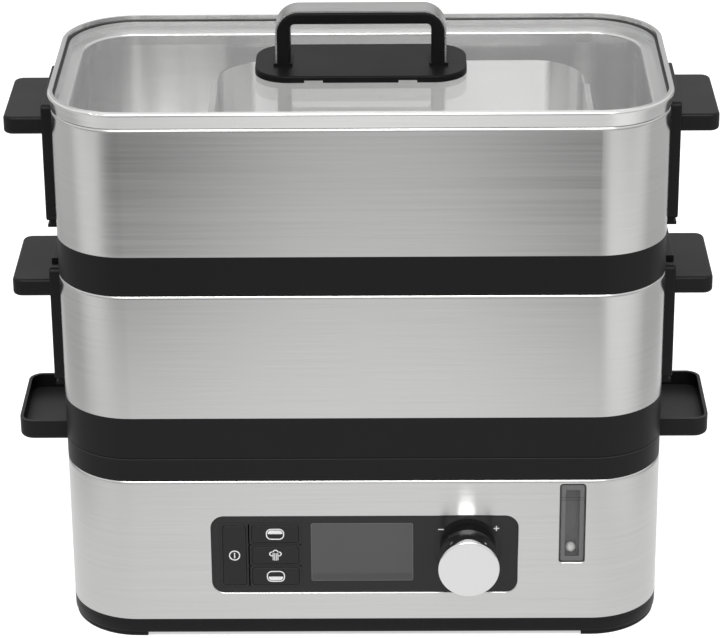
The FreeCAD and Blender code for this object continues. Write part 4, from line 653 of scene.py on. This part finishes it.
def turned_piece(name, centre, profile, material, steps=96):
    """Turn a profile of radius and depth about a level axis."""
    shape = bmesh.new()
    rows = []
    for radius, depth in profile:
        row = []
        for step in range(steps if radius else 1):
            angle = 2 * math.pi * step / steps
            x, z = centre[0] + radius * math.cos(angle), centre[1] + radius * math.sin(angle)
            row.append(shape.verts.new((x, depth, z)))
        rows.append(row)
    for first, second in zip(rows, rows[1:]):
        for i in range(steps):
            j = (i + 1) % steps
            corners = [first[i % len(first)], first[j % len(first)]]
            corners += [second[j % len(second)], second[i % len(second)]]
            shape.faces.new(list(dict.fromkeys(corners)))
    return finished_piece(name, shape, material)


def face_centre(node):
    """Middle of a node's front face in x and z, and how far forward that face stands."""
    low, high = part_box(node)
    return ((low.x + high.x) / 2, (low.z + high.z) / 2), low.y


class SteelOperator(bpy.types.Operator):
    """Steel on the walls, the base, the lid's frame and handle strip, the tray and the floors"""

    bl_idname = "steamer.steel"
    bl_label = "Steel"

    # Where the painted shade on the lid's level faces starts and becomes full, along x.
    LID_SHADED_END_STOPS = [(0.150, 0.0), (0.168, 1.0)]
    # Depth of the rim, and length at each end, that take the painted shade.
    TRAY_RIM = 2.5 * MILLIMETRE
    TRAY_SHADED_END = 22 * MILLIMETRE

    def execute(self, context):
        colours = finishes()
        walls = brushed_steel("wall_steel", colours.steel, 0.22)
        dress(walls, "base_housing", "lower_wall", "upper_wall")
        lip_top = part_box("upper_wall")[1].z
        lid = lid_steel("lid_frame_steel", colours.lid_steel, 0.22, lip_top, self.LID_SHADED_END_STOPS)
        dress(lid, "lid_rim")
        strip = brushed_steel("handle_strip_steel", shade(colours.steel, 0.68), 0.28)
        dress(strip, "lid_handle_trim")
        tray = blasted_steel("tray_steel", colours.tray_steel, 0.18, self.TRAY_RIM, self.TRAY_SHADED_END)
        dress(tray, "rice_tray")
        dress(satin_steel("floor_steel", colours.tray_steel, 0.30), "lower_floor", "upper_floor")
        return {"FINISHED"}


class PlasticOperator(bpy.types.Operator):
    """Black plastic on the rings, handles, collar, pan, lid handle and drip tray, rubber on the feet"""

    bl_idname = "steamer.plastic"
    bl_label = "Black plastic"

    def execute(self, context):
        black = finishes().black
        dress(
            moulded_plastic("grained_black", black, 0.42),
            "base_pan", "upper_ring", "lower_left_handle", "lower_right_handle",
            "upper_left_handle", "upper_right_handle", "cord_gland")
        # Level faces of the collar are painted three times paler: painted top light.
        collar = moulded_plastic("collar_black", shade(black, 1.2), 0.42, top_light_gain=3.0)
        dress(collar, "base_collar")
        dress(moulded_plastic("ring_black", shade(black, 1.2), 0.42), "lower_ring")
        smooth = moulded_plastic("smooth_black", black, 0.38, 0.0009, 0.1, 0.07)
        dress(smooth, "lid_plate", "lid_handle")
        dress(moulded_plastic("drip_tray_black", shade(black, 1.4), 0.38), "drip_tray")
        dress(moulded_plastic("foot_rubber", shade(black, 1.3), 0.75, 0.0004, 0.3), "feet")
        return {"FINISHED"}


class SkirtOperator(bpy.types.Operator):
    """Upright skirt round the pan, pads flush with it at the corners, and a painted highlight line and
    painted shadow line at the collar
    """

    bl_idname = "steamer.skirt"
    bl_label = "Pan skirt"

    # Sections are given as inset from the base outline and height in metres.
    SKIRT_GAP = 0.0001
    SKIRT_PROUD = 0.00005
    SKIRT_TOP_WIDTH = 0.0020
    SKIRT_FOOT = [
        (0.0001, 0.0017), (0.0005, 0.0006), (0.0013, 0.0), (0.0070, 0.0), (0.0070, 0.003)]
    PAD_OVERLAP = 0.0001
    PAD_FOOT = [(0.0010, 0.0006), (0.0015, 0.0), (0.0075, 0.0)]
    SEAM_PROUD = 0.00006
    SEAM_DEPTH = 0.0006
    # Lower and upper edge of each line above the seam, its shade of black, and its body; the first is a
    # painted highlight, the second a painted shadow.
    SEAM_LINES = (
        ("collar_painted_highlight", -0.0005, -0.0001, 5.0, "base"),
        ("ring_shadow_line", 0.0001, 0.0007, 0.3, "lower_container"))

    def execute(self, context):
        black = finishes().black
        low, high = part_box("base_housing")
        half = ((high.x - low.x) / 2, (high.y - low.y) / 2)
        centre_y = (low.y + high.y) / 2
        radius = studio().corner_radius
        top, bottom = low.z - self.SKIRT_GAP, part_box("base_pan")[0].z
        outline = []
        for side_x, side_y, start in CORNERS:
            outline += corner_stations(half, radius, side_x, side_y, start, 0.0)
        profile = [(-self.SKIRT_PROUD, top)]
        profile += [(inset, bottom + rise) for inset, rise in self.SKIRT_FOOT]
        profile.append((self.SKIRT_TOP_WIDTH, top))
        plastic = moulded_plastic("skirt_black", black, 0.42)
        skirt = sweep("pan_skirt", outline, profile, centre_y, True, plastic)
        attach(skirt, "base")
        self.seam(outline, centre_y, high.z + studio().collar_height, black)
        rubber = moulded_plastic("pad_rubber", shade(black, 1.2), 0.6, 0.0004, 0.3)
        pad_top = bottom + self.PAD_OVERLAP
        pad_profile = [(self.PAD_FOOT[0][0], pad_top), *self.PAD_FOOT, (self.PAD_FOOT[-1][0], pad_top)]
        for side_x, side_y, start in CORNERS:
            corner = corner_stations(half, radius, side_x, side_y, start, studio().pad_reach)
            pad = sweep(f"corner_pad_{start}", corner, pad_profile, centre_y, False, rubber)
            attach(pad, "base")
        return {"FINISHED"}

    def seam(self, outline, centre_y, level, black):
        """Painted highlight and painted shadow lines where the lower container's ring meets the collar.
        """
        for name, low, high, gain, body in self.SEAM_LINES:
            bottom, top = level + low, level + high
            profile = [
                (-self.SEAM_PROUD, top), (-self.SEAM_PROUD, bottom),
                (self.SEAM_DEPTH, bottom), (self.SEAM_DEPTH, top)]
            plastic = moulded_plastic(f"{name}_black", shade(black, gain), 0.5)
            line = sweep(name, outline, profile, centre_y, True, plastic)
            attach(line, body)


class PanelOperator(bpy.types.Operator):
    """Dark film on the panel and keys, and the grey display"""

    bl_idname = "steamer.panel"
    bl_label = "Control panel"

    def execute(self, context):
        colours = finishes()
        dress(glossy_film("panel_film", colours.panel, 0.11), "control_panel")
        dress(glossy_film("key_film", colours.keys, 0.30), *KEYS)
        dress(glossy_film("display_lens_film", colours.display, 0.16), "display_window")
        dress(glossy_film("display_back", shade(colours.display, 0.8), 0.3), "display_module")
        return {"FINISHED"}


class KnobOperator(bpy.types.Operator):
    """Turned cap and dark core of the knob"""

    bl_idname = "steamer.knob"
    bl_label = "Knob"

    EDGE_STEPS = 6
    EDGE_MARGIN = 0.0002
    WALL = 0.0004
    FACE = 0.002

    def execute(self, context):
        colours = finishes()
        self.turned_cap(turned_metal("knob_face_metal", colours.chrome, 0.22))
        core = moulded_plastic("knob_core_black", colours.black, 0.22, 0.0009, 0.05, 0.5)
        dress(core, "knob_hub")
        return {"FINISHED"}

    def turned_cap(self, metal):
        """Cap turned on a lathe, hollow at the back, a little narrower towards the panel."""
        low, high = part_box("knob_cap")
        centre = ((low.x + high.x) / 2, (low.z + high.z) / 2)
        front, back = low.y, high.y
        radius = (high.x - low.x) / 2
        edge, margin = marks().knob_edge, self.EDGE_MARGIN
        behind = radius - math.tan(marks().knob_taper) * (back - front - edge)
        profile = [(0.0, front), (radius - edge - margin, front)]
        for step in range(self.EDGE_STEPS + 1):
            angle = math.radians(90 * step / self.EDGE_STEPS)
            profile.append(
                (radius - edge + edge * math.sin(angle), front + edge - edge * math.cos(angle)))
        hollow = behind - self.WALL
        profile += [
            (radius, front + edge + margin), (behind, back - margin), (behind - margin, back),
            (hollow, back), (hollow, front + self.FACE), (0.0, front + self.FACE)]
        cap = turned_piece("turned_knob_cap", centre, profile, metal)
        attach(cap, "knob")
        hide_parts("knob_cap")


class GaugeOperator(bpy.types.Operator):
    """Smoked window, grey channel and white float of the water gauge"""

    bl_idname = "steamer.gauge"
    bl_label = "Water gauge"

    def execute(self, context):
        dress(clear_pane("gauge_smoke", (0.93, 0.93, 0.93, 1.0), 0.05), "gauge_window")
        channel = moulded_plastic("gauge_channel_grey", (0.17, 0.17, 0.172, 1.0), 0.4)
        dress(channel, "gauge_channel")
        white = moulded_plastic("float_plastic", finishes().float_white, 0.35, 0.0009, 0.05)
        dress(white, "gauge_float")
        return {"FINISHED"}


class LidOperator(bpy.types.Operator):
    """Clear pane of the lid, its pale seal with a dark bead, and the washers"""

    bl_idname = "steamer.lid"
    bl_label = "Lid glass"

    BEAD_HEIGHT = 0.0002

    def execute(self, context):
        dark = shade(finishes().black, 1.6)
        dress(clear_pane("lid_pane", (0.965, 0.965, 0.965, 1.0), 0.02), "lid_glass")
        bead_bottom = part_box("lid_glass")[1].z - self.BEAD_HEIGHT
        dress(lid_seal("lid_seal", (0.42, 0.42, 0.42, 1.0), dark, bead_bottom), "lid_gasket")
        dress(moulded_plastic("washer_silicone", dark, 0.55), "lid_washers")
        return {"FINISHED"}


class InnerOperator(bpy.types.Operator):
    """Tank, heater, boards, screws and other pieces inside the base"""

    bl_idname = "steamer.inner"
    bl_label = "Inner pieces"

    def execute(self, context):
        dress(moulded_plastic("tank_plastic", (0.05, 0.05, 0.053, 1.0), 0.35), "water_tank")
        dress(satin_steel("cast_heater", (0.42, 0.42, 0.42, 1.0), 0.45), "heater_plate")
        dress(moulded_plastic("heater_silicone", (0.35, 0.05, 0.03, 1.0), 0.6), "heater_seal")
        dress(satin_steel("heat_tinted_tube", (0.34, 0.31, 0.28, 1.0), 0.4), "heating_element")
        phenolic = moulded_plastic("thermostat_phenolic", (0.09, 0.04, 0.02, 1.0), 0.5)
        dress(phenolic, "thermostat")
        dress(circuit_board_finish("solder_mask"), "control_board", "power_board")
        dress(
            moulded_plastic("dark_moulding", (0.02, 0.02, 0.02, 1.0), 0.45),
            "key_switches", "power_relay", "terminal_block", "gland_nut")
        dress(
            satin_steel("zinc_plate", (0.6, 0.6, 0.59, 1.0), 0.28),
            "base_screws", "board_screws", "lower_handle_screws", "upper_handle_screws",
            "lid_screws", "knob_encoder", "knob_shaft")
        return {"FINISHED"}


class KeyMarksOperator(bpy.types.Operator):
    """Printed signs on the four keys, each riding on its key, and painted shadow lines round the keys
    """

    bl_idname = "steamer.key_marks"
    bl_label = "Key signs"

    # How far the painted shadow line round a key reaches past it in all, and its corner radius.
    LINE_INNER = (0.0004, 0.0014)
    LINE_OUTER = (0.0021, 0.0023)
    LINE_LIFT = 0.00003
    RING_STEPS = 48
    # Puffs of the steam sign: centre and radius in sign widths, and the arc in degrees.
    PUFFS = (
        ((-0.29, 0.13), 0.21, 85, 290), ((0.0, 0.25), 0.25, 10, 170), ((0.29, 0.13), 0.21, -110, 95))
    PUFF_STEPS = 20
    PUFF_LIFT = 0.06

    def execute(self, context):
        ink = printed_ink("key_ink", finishes().marks)
        self.power_sign(ink)
        self.tier_sign("upper_tier_key", 1, ink)
        self.tier_sign("lower_tier_key", -1, ink)
        self.steam_sign(ink)
        self.key_gap_shadows()
        return {"FINISHED"}

    def key_gap_shadows(self):
        """Dark line round each key, on the panel: a painted shadow in the gap round the key."""
        dark = printed_ink("painted_key_gap_shadow", shade(finishes().black, 0.3))
        _, face_y = face_centre("control_panel")
        for key in KEYS:
            low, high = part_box(key)
            centre, _ = face_centre(key)
            inner, outer = (
                round_box(high.x - low.x + reach, high.z - low.z + reach, radius)
                for reach, radius in (self.LINE_INNER, self.LINE_OUTER))
            line = band(outer, inner, True)
            print_mark(f"{key}_line", line, centre, face_y, "base", dark, self.LINE_LIFT)

    def power_sign(self, ink):
        """Ring with an upright stroke."""
        sizes = marks()
        outer = sizes.power_size / 2
        faces = band(*(
            arc_points((0, 0), radius, 0, 360, self.RING_STEPS)
            for radius in (outer, outer - sizes.stroke)))
        faces.append(straight_stroke((0, -0.54 * outer), (0, 0.54 * outer), sizes.stroke))
        centre, face_y = face_centre("power_key")
        print_mark("power_sign", faces, centre, face_y, "power_key", ink)

    def tier_sign(self, key, half, ink):
        """Rounded box with its upper or lower half filled."""
        sizes = marks()
        width, height, stroke = sizes.tier_width, sizes.tier_height, sizes.stroke
        radius = 0.42 * height
        outer, inner, filled = (
            round_box(width - 2 * inset, height - 2 * inset, radius - inset)
            for inset in (0.0, stroke, 1.6 * stroke))
        faces = band(outer, inner, closed=True)
        faces.append([(x, half * max(z, 0.02 * height)) for x, z in filled])
        centre, face_y = face_centre(key)
        print_mark(f"{key}_sign", faces, centre, face_y, key, ink)

    def steam_sign(self, ink):
        """Cloud of three puffs over a column of strokes."""
        sizes = marks()
        width, stroke = sizes.steam_size, sizes.stroke
        centre, face_y = face_centre("steam_key")
        for number, (place, radius, start, end) in enumerate(self.PUFFS):
            middle = (place[0] * width, place[1] * width)
            puff = band(*(
                arc_points(middle, radius * width - inset, start, end, self.PUFF_STEPS)
                for inset in (0.0, stroke)))
            lift = sizes.print_height * (1.0 + self.PUFF_LIFT * number)
            print_mark(f"steam_puff_{number}", puff, centre, face_y, "steam_key", ink, lift)
        column = []
        for step in (-1.5, -0.5, 0.5, 1.5):
            x = step * 0.125 * width
            low = -0.47 + 0.03 * abs(step)
            column.append(straight_stroke((x, low * width), (x, 0.20 * width), 0.75 * stroke))
        print_mark("steam_column", column, centre, face_y, "steam_key", ink)


class PanelMarksOperator(bpy.types.Operator):
    """Minus and plus beside the knob, and the frame and strip of the display"""

    bl_idname = "steamer.panel_marks"
    bl_label = "Panel signs"

    # Places from the knob's centre.
    MINUS_PLACE = (-0.0166, 0.0134)
    PLUS_PLACE = (0.0174, 0.0140)
    FRAME_MARGIN = 0.0004
    FRAME_WIDTH = 0.0005
    FRAME_LIFT = 0.00005
    STRIP_SHARE = 0.1
    STRIP_MARGIN = 0.0022
    STRIP_RISE = 0.0012
    STRIP_LIFT = 0.00004

    def execute(self, context):
        sizes = marks()
        ink = printed_ink("panel_ink", finishes().marks)
        _, face_y = face_centre("control_panel")
        knob, _ = face_centre("knob_cap")
        half, stroke = sizes.sign_length / 2, 0.85 * sizes.stroke
        level = [straight_stroke((-half, 0), (half, 0), stroke)]
        upright = [straight_stroke((0, -half), (0, half), stroke)]
        minus, plus = (
            (knob[0] + x, knob[1] + z) for x, z in (self.MINUS_PLACE, self.PLUS_PLACE))
        print_mark("minus_sign", level, minus, face_y, "base", ink)
        print_mark("plus_sign_level", level, plus, face_y, "base", ink)
        lift = sizes.print_height * 1.1
        print_mark("plus_sign_upright", upright, plus, face_y, "base", ink, lift)
        self.display_lines(finishes().display)
        return {"FINISHED"}

    def display_lines(self, grey):
        """Pale frame of the display, and the dark strip along its foot."""
        centre, face_y = face_centre("display_window")
        low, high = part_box("display_module")
        width, height = high.x - low.x, high.z - low.z
        pale = printed_ink("display_line_ink", shade(grey, 1.35))
        dark = printed_ink("display_strip_ink", shade(grey, 0.70))
        outer, inner = (
            round_box(width - margin, height - margin, radius) for margin, radius in (
                (self.FRAME_MARGIN, 0.0013), (self.FRAME_MARGIN + 2 * self.FRAME_WIDTH, 0.001)))
        lines = band(outer, inner, True)
        print_mark("display_frame", lines, centre, face_y, "base", pale, self.FRAME_LIFT)
        strip_height = self.STRIP_SHARE * height
        drop = strip_height / 2 + self.STRIP_RISE - height / 2
        outline = round_box(width - self.STRIP_MARGIN, strip_height, 0.0003)
        strip = [[(x, z + drop) for x, z in outline]]
        print_mark("display_strip", strip, centre, face_y, "base", dark, self.STRIP_LIFT)


class GaugeMarksOperator(bpy.types.Operator):
    """Border and level lines on the gauge's window"""

    bl_idname = "steamer.gauge_marks"
    bl_label = "Gauge lines"

    BORDER_MARGIN = 0.0014
    BORDER_LIFT = 0.00004
    OPENING_SHARE = 0.50
    OPENING_MARGIN = 0.0080
    # Heights above the window's middle and length, as shares of its height and width.
    LINE_HEIGHTS = (0.315, 0.285)
    LINE_LENGTH = 0.8
    LINE_WIDTH = 0.0004
    LINE_LIFT = 0.00005

    def execute(self, context):
        ink = printed_ink("gauge_ink", shade(finishes().marks, 0.05))
        grey = printed_ink("gauge_border_ink", shade(finishes().marks, 0.17))
        low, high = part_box("gauge_window")
        centre, face_y = face_centre("gauge_window")
        width, height = high.x - low.x, high.z - low.z
        flange = 2 * marks().gauge_flange
        outer = round_box(
            width - flange - self.BORDER_MARGIN, height - flange - self.BORDER_MARGIN, 0.0012)
        inner = round_box(
            self.OPENING_SHARE * width, height - flange - self.OPENING_MARGIN, 0.0008)
        border = band(outer, inner, True)
        print_mark("gauge_border", border, centre, face_y, "base", grey, self.BORDER_LIFT)
        half = self.LINE_LENGTH * width / 2
        line = [straight_stroke((-half, 0), (half, 0), self.LINE_WIDTH)]
        for number, share in enumerate(self.LINE_HEIGHTS):
            place = (centre[0], centre[1] + share * height)
            print_mark(f"gauge_line_{number}", line, place, face_y, "base", ink, self.LINE_LIFT)
        return {"FINISHED"}


class StageOperator(bpy.types.Operator):
    """White floor, soft lamps, world and the camera"""

    bl_idname = "steamer.stage"
    bl_label = "Studio"

    WHITE = (1.0, 1.0, 1.0, 1.0)
    # What metal sees of the floor, over the floor ahead of the front line and to its sides.
    FRONT_LINE = -0.0765
    MIRROR_DEPTH = 3.0
    MIRROR_WIDTH = 3.2
    DEPTH_STOPS = [
        (0.0, 0.92), (0.08, 0.95), (0.15, 0.97), (0.19, 0.80),
        (0.23, 0.66), (0.31, 0.62), (0.5, 0.5), (1.0, 0.42)]
    SIDE_STOPS = [
        (0.19, 0.8), (0.24, 1.45), (0.27, 1.45), (0.285, 1.1), (0.308, 0.22), (0.435, 0.28),
        (0.45, 0.52), (0.4625, 0.72), (0.48, 0.94), (0.5, 1.0), (0.52, 0.94), (0.5375, 0.72),
        (0.55, 0.52), (0.565, 0.28), (0.5825, 0.28), (0.60, 1.1), (0.625, 1.45), (0.71, 1.45),
        (0.8, 0.8)]
    REACH_STOPS = [(0.0, 0.10), (0.10, 0.16), (0.16, 0.36), (0.20, 0.85), (0.24, 1.0)]
    END_STOPS = [(0.18, 0.0), (0.34, 0.45), (0.41, 0.45), (0.56, 0.32)]
    BESIDE_STOPS = [(0.0, 1.0), (0.25, 0.0)]
    # What metal sees of the sky: level over height, and one soft lamp.
    SKY_STOPS = [(0.0, 0.38), (0.1, 0.45), (0.25, 0.8), (0.42, 1.0)]
    SOFTBOX_DIRECTION = (0.0, -0.88, 0.475)
    SOFTBOX_STOPS = [(0.95, 0.0), (0.99, 0.45)]
    SENSOR_WIDTH = 36.0
    FARTHEST = 50.0

    def execute(self, context):
        settings = studio()
        self.floor()
        self.world(context.scene)
        self.lamp(
            "front_softbox", (0.0, -1.3, 1.9), (0.0, 0.0, 0.15), (1.6, 0.9), settings.front_lamp)
        for name, side in (("left_softbox", -1.7), ("right_softbox", 1.7)):
            self.lamp(
                name, (side, -0.5, 1.1), (0.0, 0.0, 0.2), (1.0, 1.2), settings.side_lamp, False)
        self.camera(context.scene)
        context.scene.view_settings.view_transform = "Standard"
        return {"FINISHED"}

    def floor(self):
        """Level white floor under the part."""
        half = studio().floor_size / 2
        mesh = bpy.data.meshes.new("floor")
        corners = [(-half, -half, 0), (half, -half, 0), (half, half, 0), (-half, half, 0)]
        mesh.from_pydata(corners, [], [(0, 1, 2, 3)])
        floor = bpy.data.objects.new("floor", mesh)
        bpy.context.scene.collection.objects.link(floor)
        mesh.materials.append(self.floor_finish())

    def floor_finish(self):
        """Matt floor that looks white to the camera and keeps the shadow."""
        finish = Finish(bpy.data.materials.new("pale_floor"))
        seen = finish.light_path("Is Camera Ray").at_least(finish.light_path("Is Transmission Ray"))
        glossy = finish.light_path("Is Glossy Ray")
        matt = finish.add("ShaderNodeBsdfDiffuse", None, {"Color": (0.82, 0.82, 0.82, 1.0)})
        lift = finish.add("ShaderNodeEmission", None, {"Color": self.WHITE, "Strength": 0.55})
        lit = finish.add("ShaderNodeAddShader", None, {0: matt, 1: lift})
        sockets = {"Color": self.mirrored_floor(finish), "Strength": 1.0}
        mirrored = finish.add("ShaderNodeEmission", None, sockets)
        shown = finish.add("ShaderNodeMixShader", None, {0: seen, 1: matt, 2: lit})
        surface = finish.add("ShaderNodeMixShader", None, {0: glossy, 1: shown, 2: mirrored})
        return finish.close(surface)

    def mirrored_floor(self, finish):
        """White close by, greyer further out, and darkest to either side of the front."""
        ahead = self.FRONT_LINE - finish.axis(finish.place(), "Y")
        along = finish.axis(finish.place(), "X")
        depth_share = ahead * (1.0 / self.MIRROR_DEPTH)
        depth = finish.ramp(depth_share, self.DEPTH_STOPS)
        reach = finish.ramp(depth_share, self.REACH_STOPS)
        side = finish.ramp(along * (1.0 / self.MIRROR_WIDTH) + 0.5, self.SIDE_STOPS)
        end = finish.ramp(along.unsigned() * (2.0 / self.MIRROR_WIDTH), self.END_STOPS)
        beside = finish.ramp(ahead, self.BESIDE_STOPS)
        return depth * (1.0 - reach * (1.0 - side)) * (1.0 - end * beside)

    def world(self, scene):
        """White surroundings: plain light on matt surfaces, a paler sky above a grey rim in mirrors."""
        sky = Finish(bpy.data.worlds.new("studio"))
        plain = studio().sky_light
        seen = sky.light_path("Is Camera Ray").at_least(sky.light_path("Is Transmission Ray"))
        mirrored = sky.light_path("Is Glossy Ray")
        direction = sky.add("ShaderNodeTexCoord", output="Generated")
        level = sky.ramp(sky.axis(direction, "Z"), self.SKY_STOPS)
        toward = sky.vector("DOT_PRODUCT", direction, self.SOFTBOX_DIRECTION, "Value")
        softbox = sky.ramp(toward, self.SOFTBOX_STOPS)
        strength = plain + (1.0 - plain) * seen + (level + softbox - plain) * mirrored
        sockets = {"Color": self.WHITE, "Strength": strength}
        background = sky.add("ShaderNodeBackground", None, sockets)
        sky.add("ShaderNodeOutputWorld", None, {"Surface": background})
        scene.world = sky.holder

    def lamp(self, name, place, target, size, power, mirrored=True):
        """Soft lamp that looks at a target."""
        light = bpy.data.lights.new(name, "AREA")
        light.shape = "RECTANGLE"
        light.size, light.size_y = size
        light.energy = power
        lamp = bpy.data.objects.new(name, light)
        lamp.location = place
        lamp.visible_glossy = mirrored
        direction = Vector(target) - Vector(place)
        lamp.rotation_euler = direction.to_track_quat("-Z", "Y").to_euler()
        bpy.context.scene.collection.objects.link(lamp)

    def camera(self, scene):
        """Camera at the photograph's viewing angle."""
        settings = studio()
        pitch, yaw, roll = settings.camera_pitch, settings.camera_yaw, settings.camera_roll
        forward = Vector((
            math.sin(yaw) * math.cos(pitch), math.cos(yaw) * math.cos(pitch), -math.sin(pitch)))
        right = forward.cross(Vector((0.0, 0.0, 1.0))).normalized()
        up = right.cross(forward)
        leaned_right = right * math.cos(roll) + up * math.sin(roll)
        leaned_up = up * math.cos(roll) - right * math.sin(roll)
        turn = Matrix((leaned_right, leaned_up, -forward)).transposed()
        lens = bpy.data.cameras.new("camera")
        lens.lens = settings.lens
        lens.sensor_fit = "HORIZONTAL"
        lens.sensor_width = self.SENSOR_WIDTH
        lens.clip_end = self.FARTHEST
        camera = bpy.data.objects.new("camera", lens)
        camera.matrix_world = Matrix.Translation(settings.camera_place) @ turn.to_4x4()
        scene.collection.objects.link(camera)
        scene.camera = camera


OPERATORS = (
    SteelOperator, PlasticOperator, SkirtOperator, PanelOperator, KnobOperator, GaugeOperator,
    LidOperator, InnerOperator, KeyMarksOperator, PanelMarksOperator, GaugeMarksOperator,
    StageOperator)


class STEAMER_PT_looks(bpy.types.Panel):
    """List of the steps that dress the steamer"""

    bl_label = "Steamer"
    bl_idname = "STEAMER_PT_looks"
    bl_space_type = "VIEW_3D"
    bl_region_type = "UI"
    bl_category = "Steamer"

    def draw(self, context):
        for operator in OPERATORS:
            self.layout.operator(operator.bl_idname)


GROUPS = (SteamerFinishes, SteamerMarks, SteamerStudio)
CLASSES = GROUPS + OPERATORS + (STEAMER_PT_looks,)


def register():
    for listed in CLASSES:
        bpy.utils.register_class(listed)
    bpy.types.Scene.steamer_finishes = bpy.props.PointerProperty(type=SteamerFinishes)
    bpy.types.Scene.steamer_marks = bpy.props.PointerProperty(type=SteamerMarks)
    bpy.types.Scene.steamer_studio = bpy.props.PointerProperty(type=SteamerStudio)


def unregister():
    del bpy.types.Scene.steamer_studio
    del bpy.types.Scene.steamer_marks
    del bpy.types.Scene.steamer_finishes
    for listed in reversed(CLASSES):
        bpy.utils.unregister_class(listed)


def main():
    register()
    bpy.ops.steamer.steel()
    bpy.ops.steamer.plastic()
    bpy.ops.steamer.skirt()
    bpy.ops.steamer.panel()
    bpy.ops.steamer.knob()
    bpy.ops.steamer.gauge()
    bpy.ops.steamer.lid()
    bpy.ops.steamer.inner()
    bpy.ops.steamer.key_marks()
    bpy.ops.steamer.panel_marks()
    bpy.ops.steamer.gauge_marks()
    bpy.ops.steamer.stage()


if __name__ == "__main__":
    main()
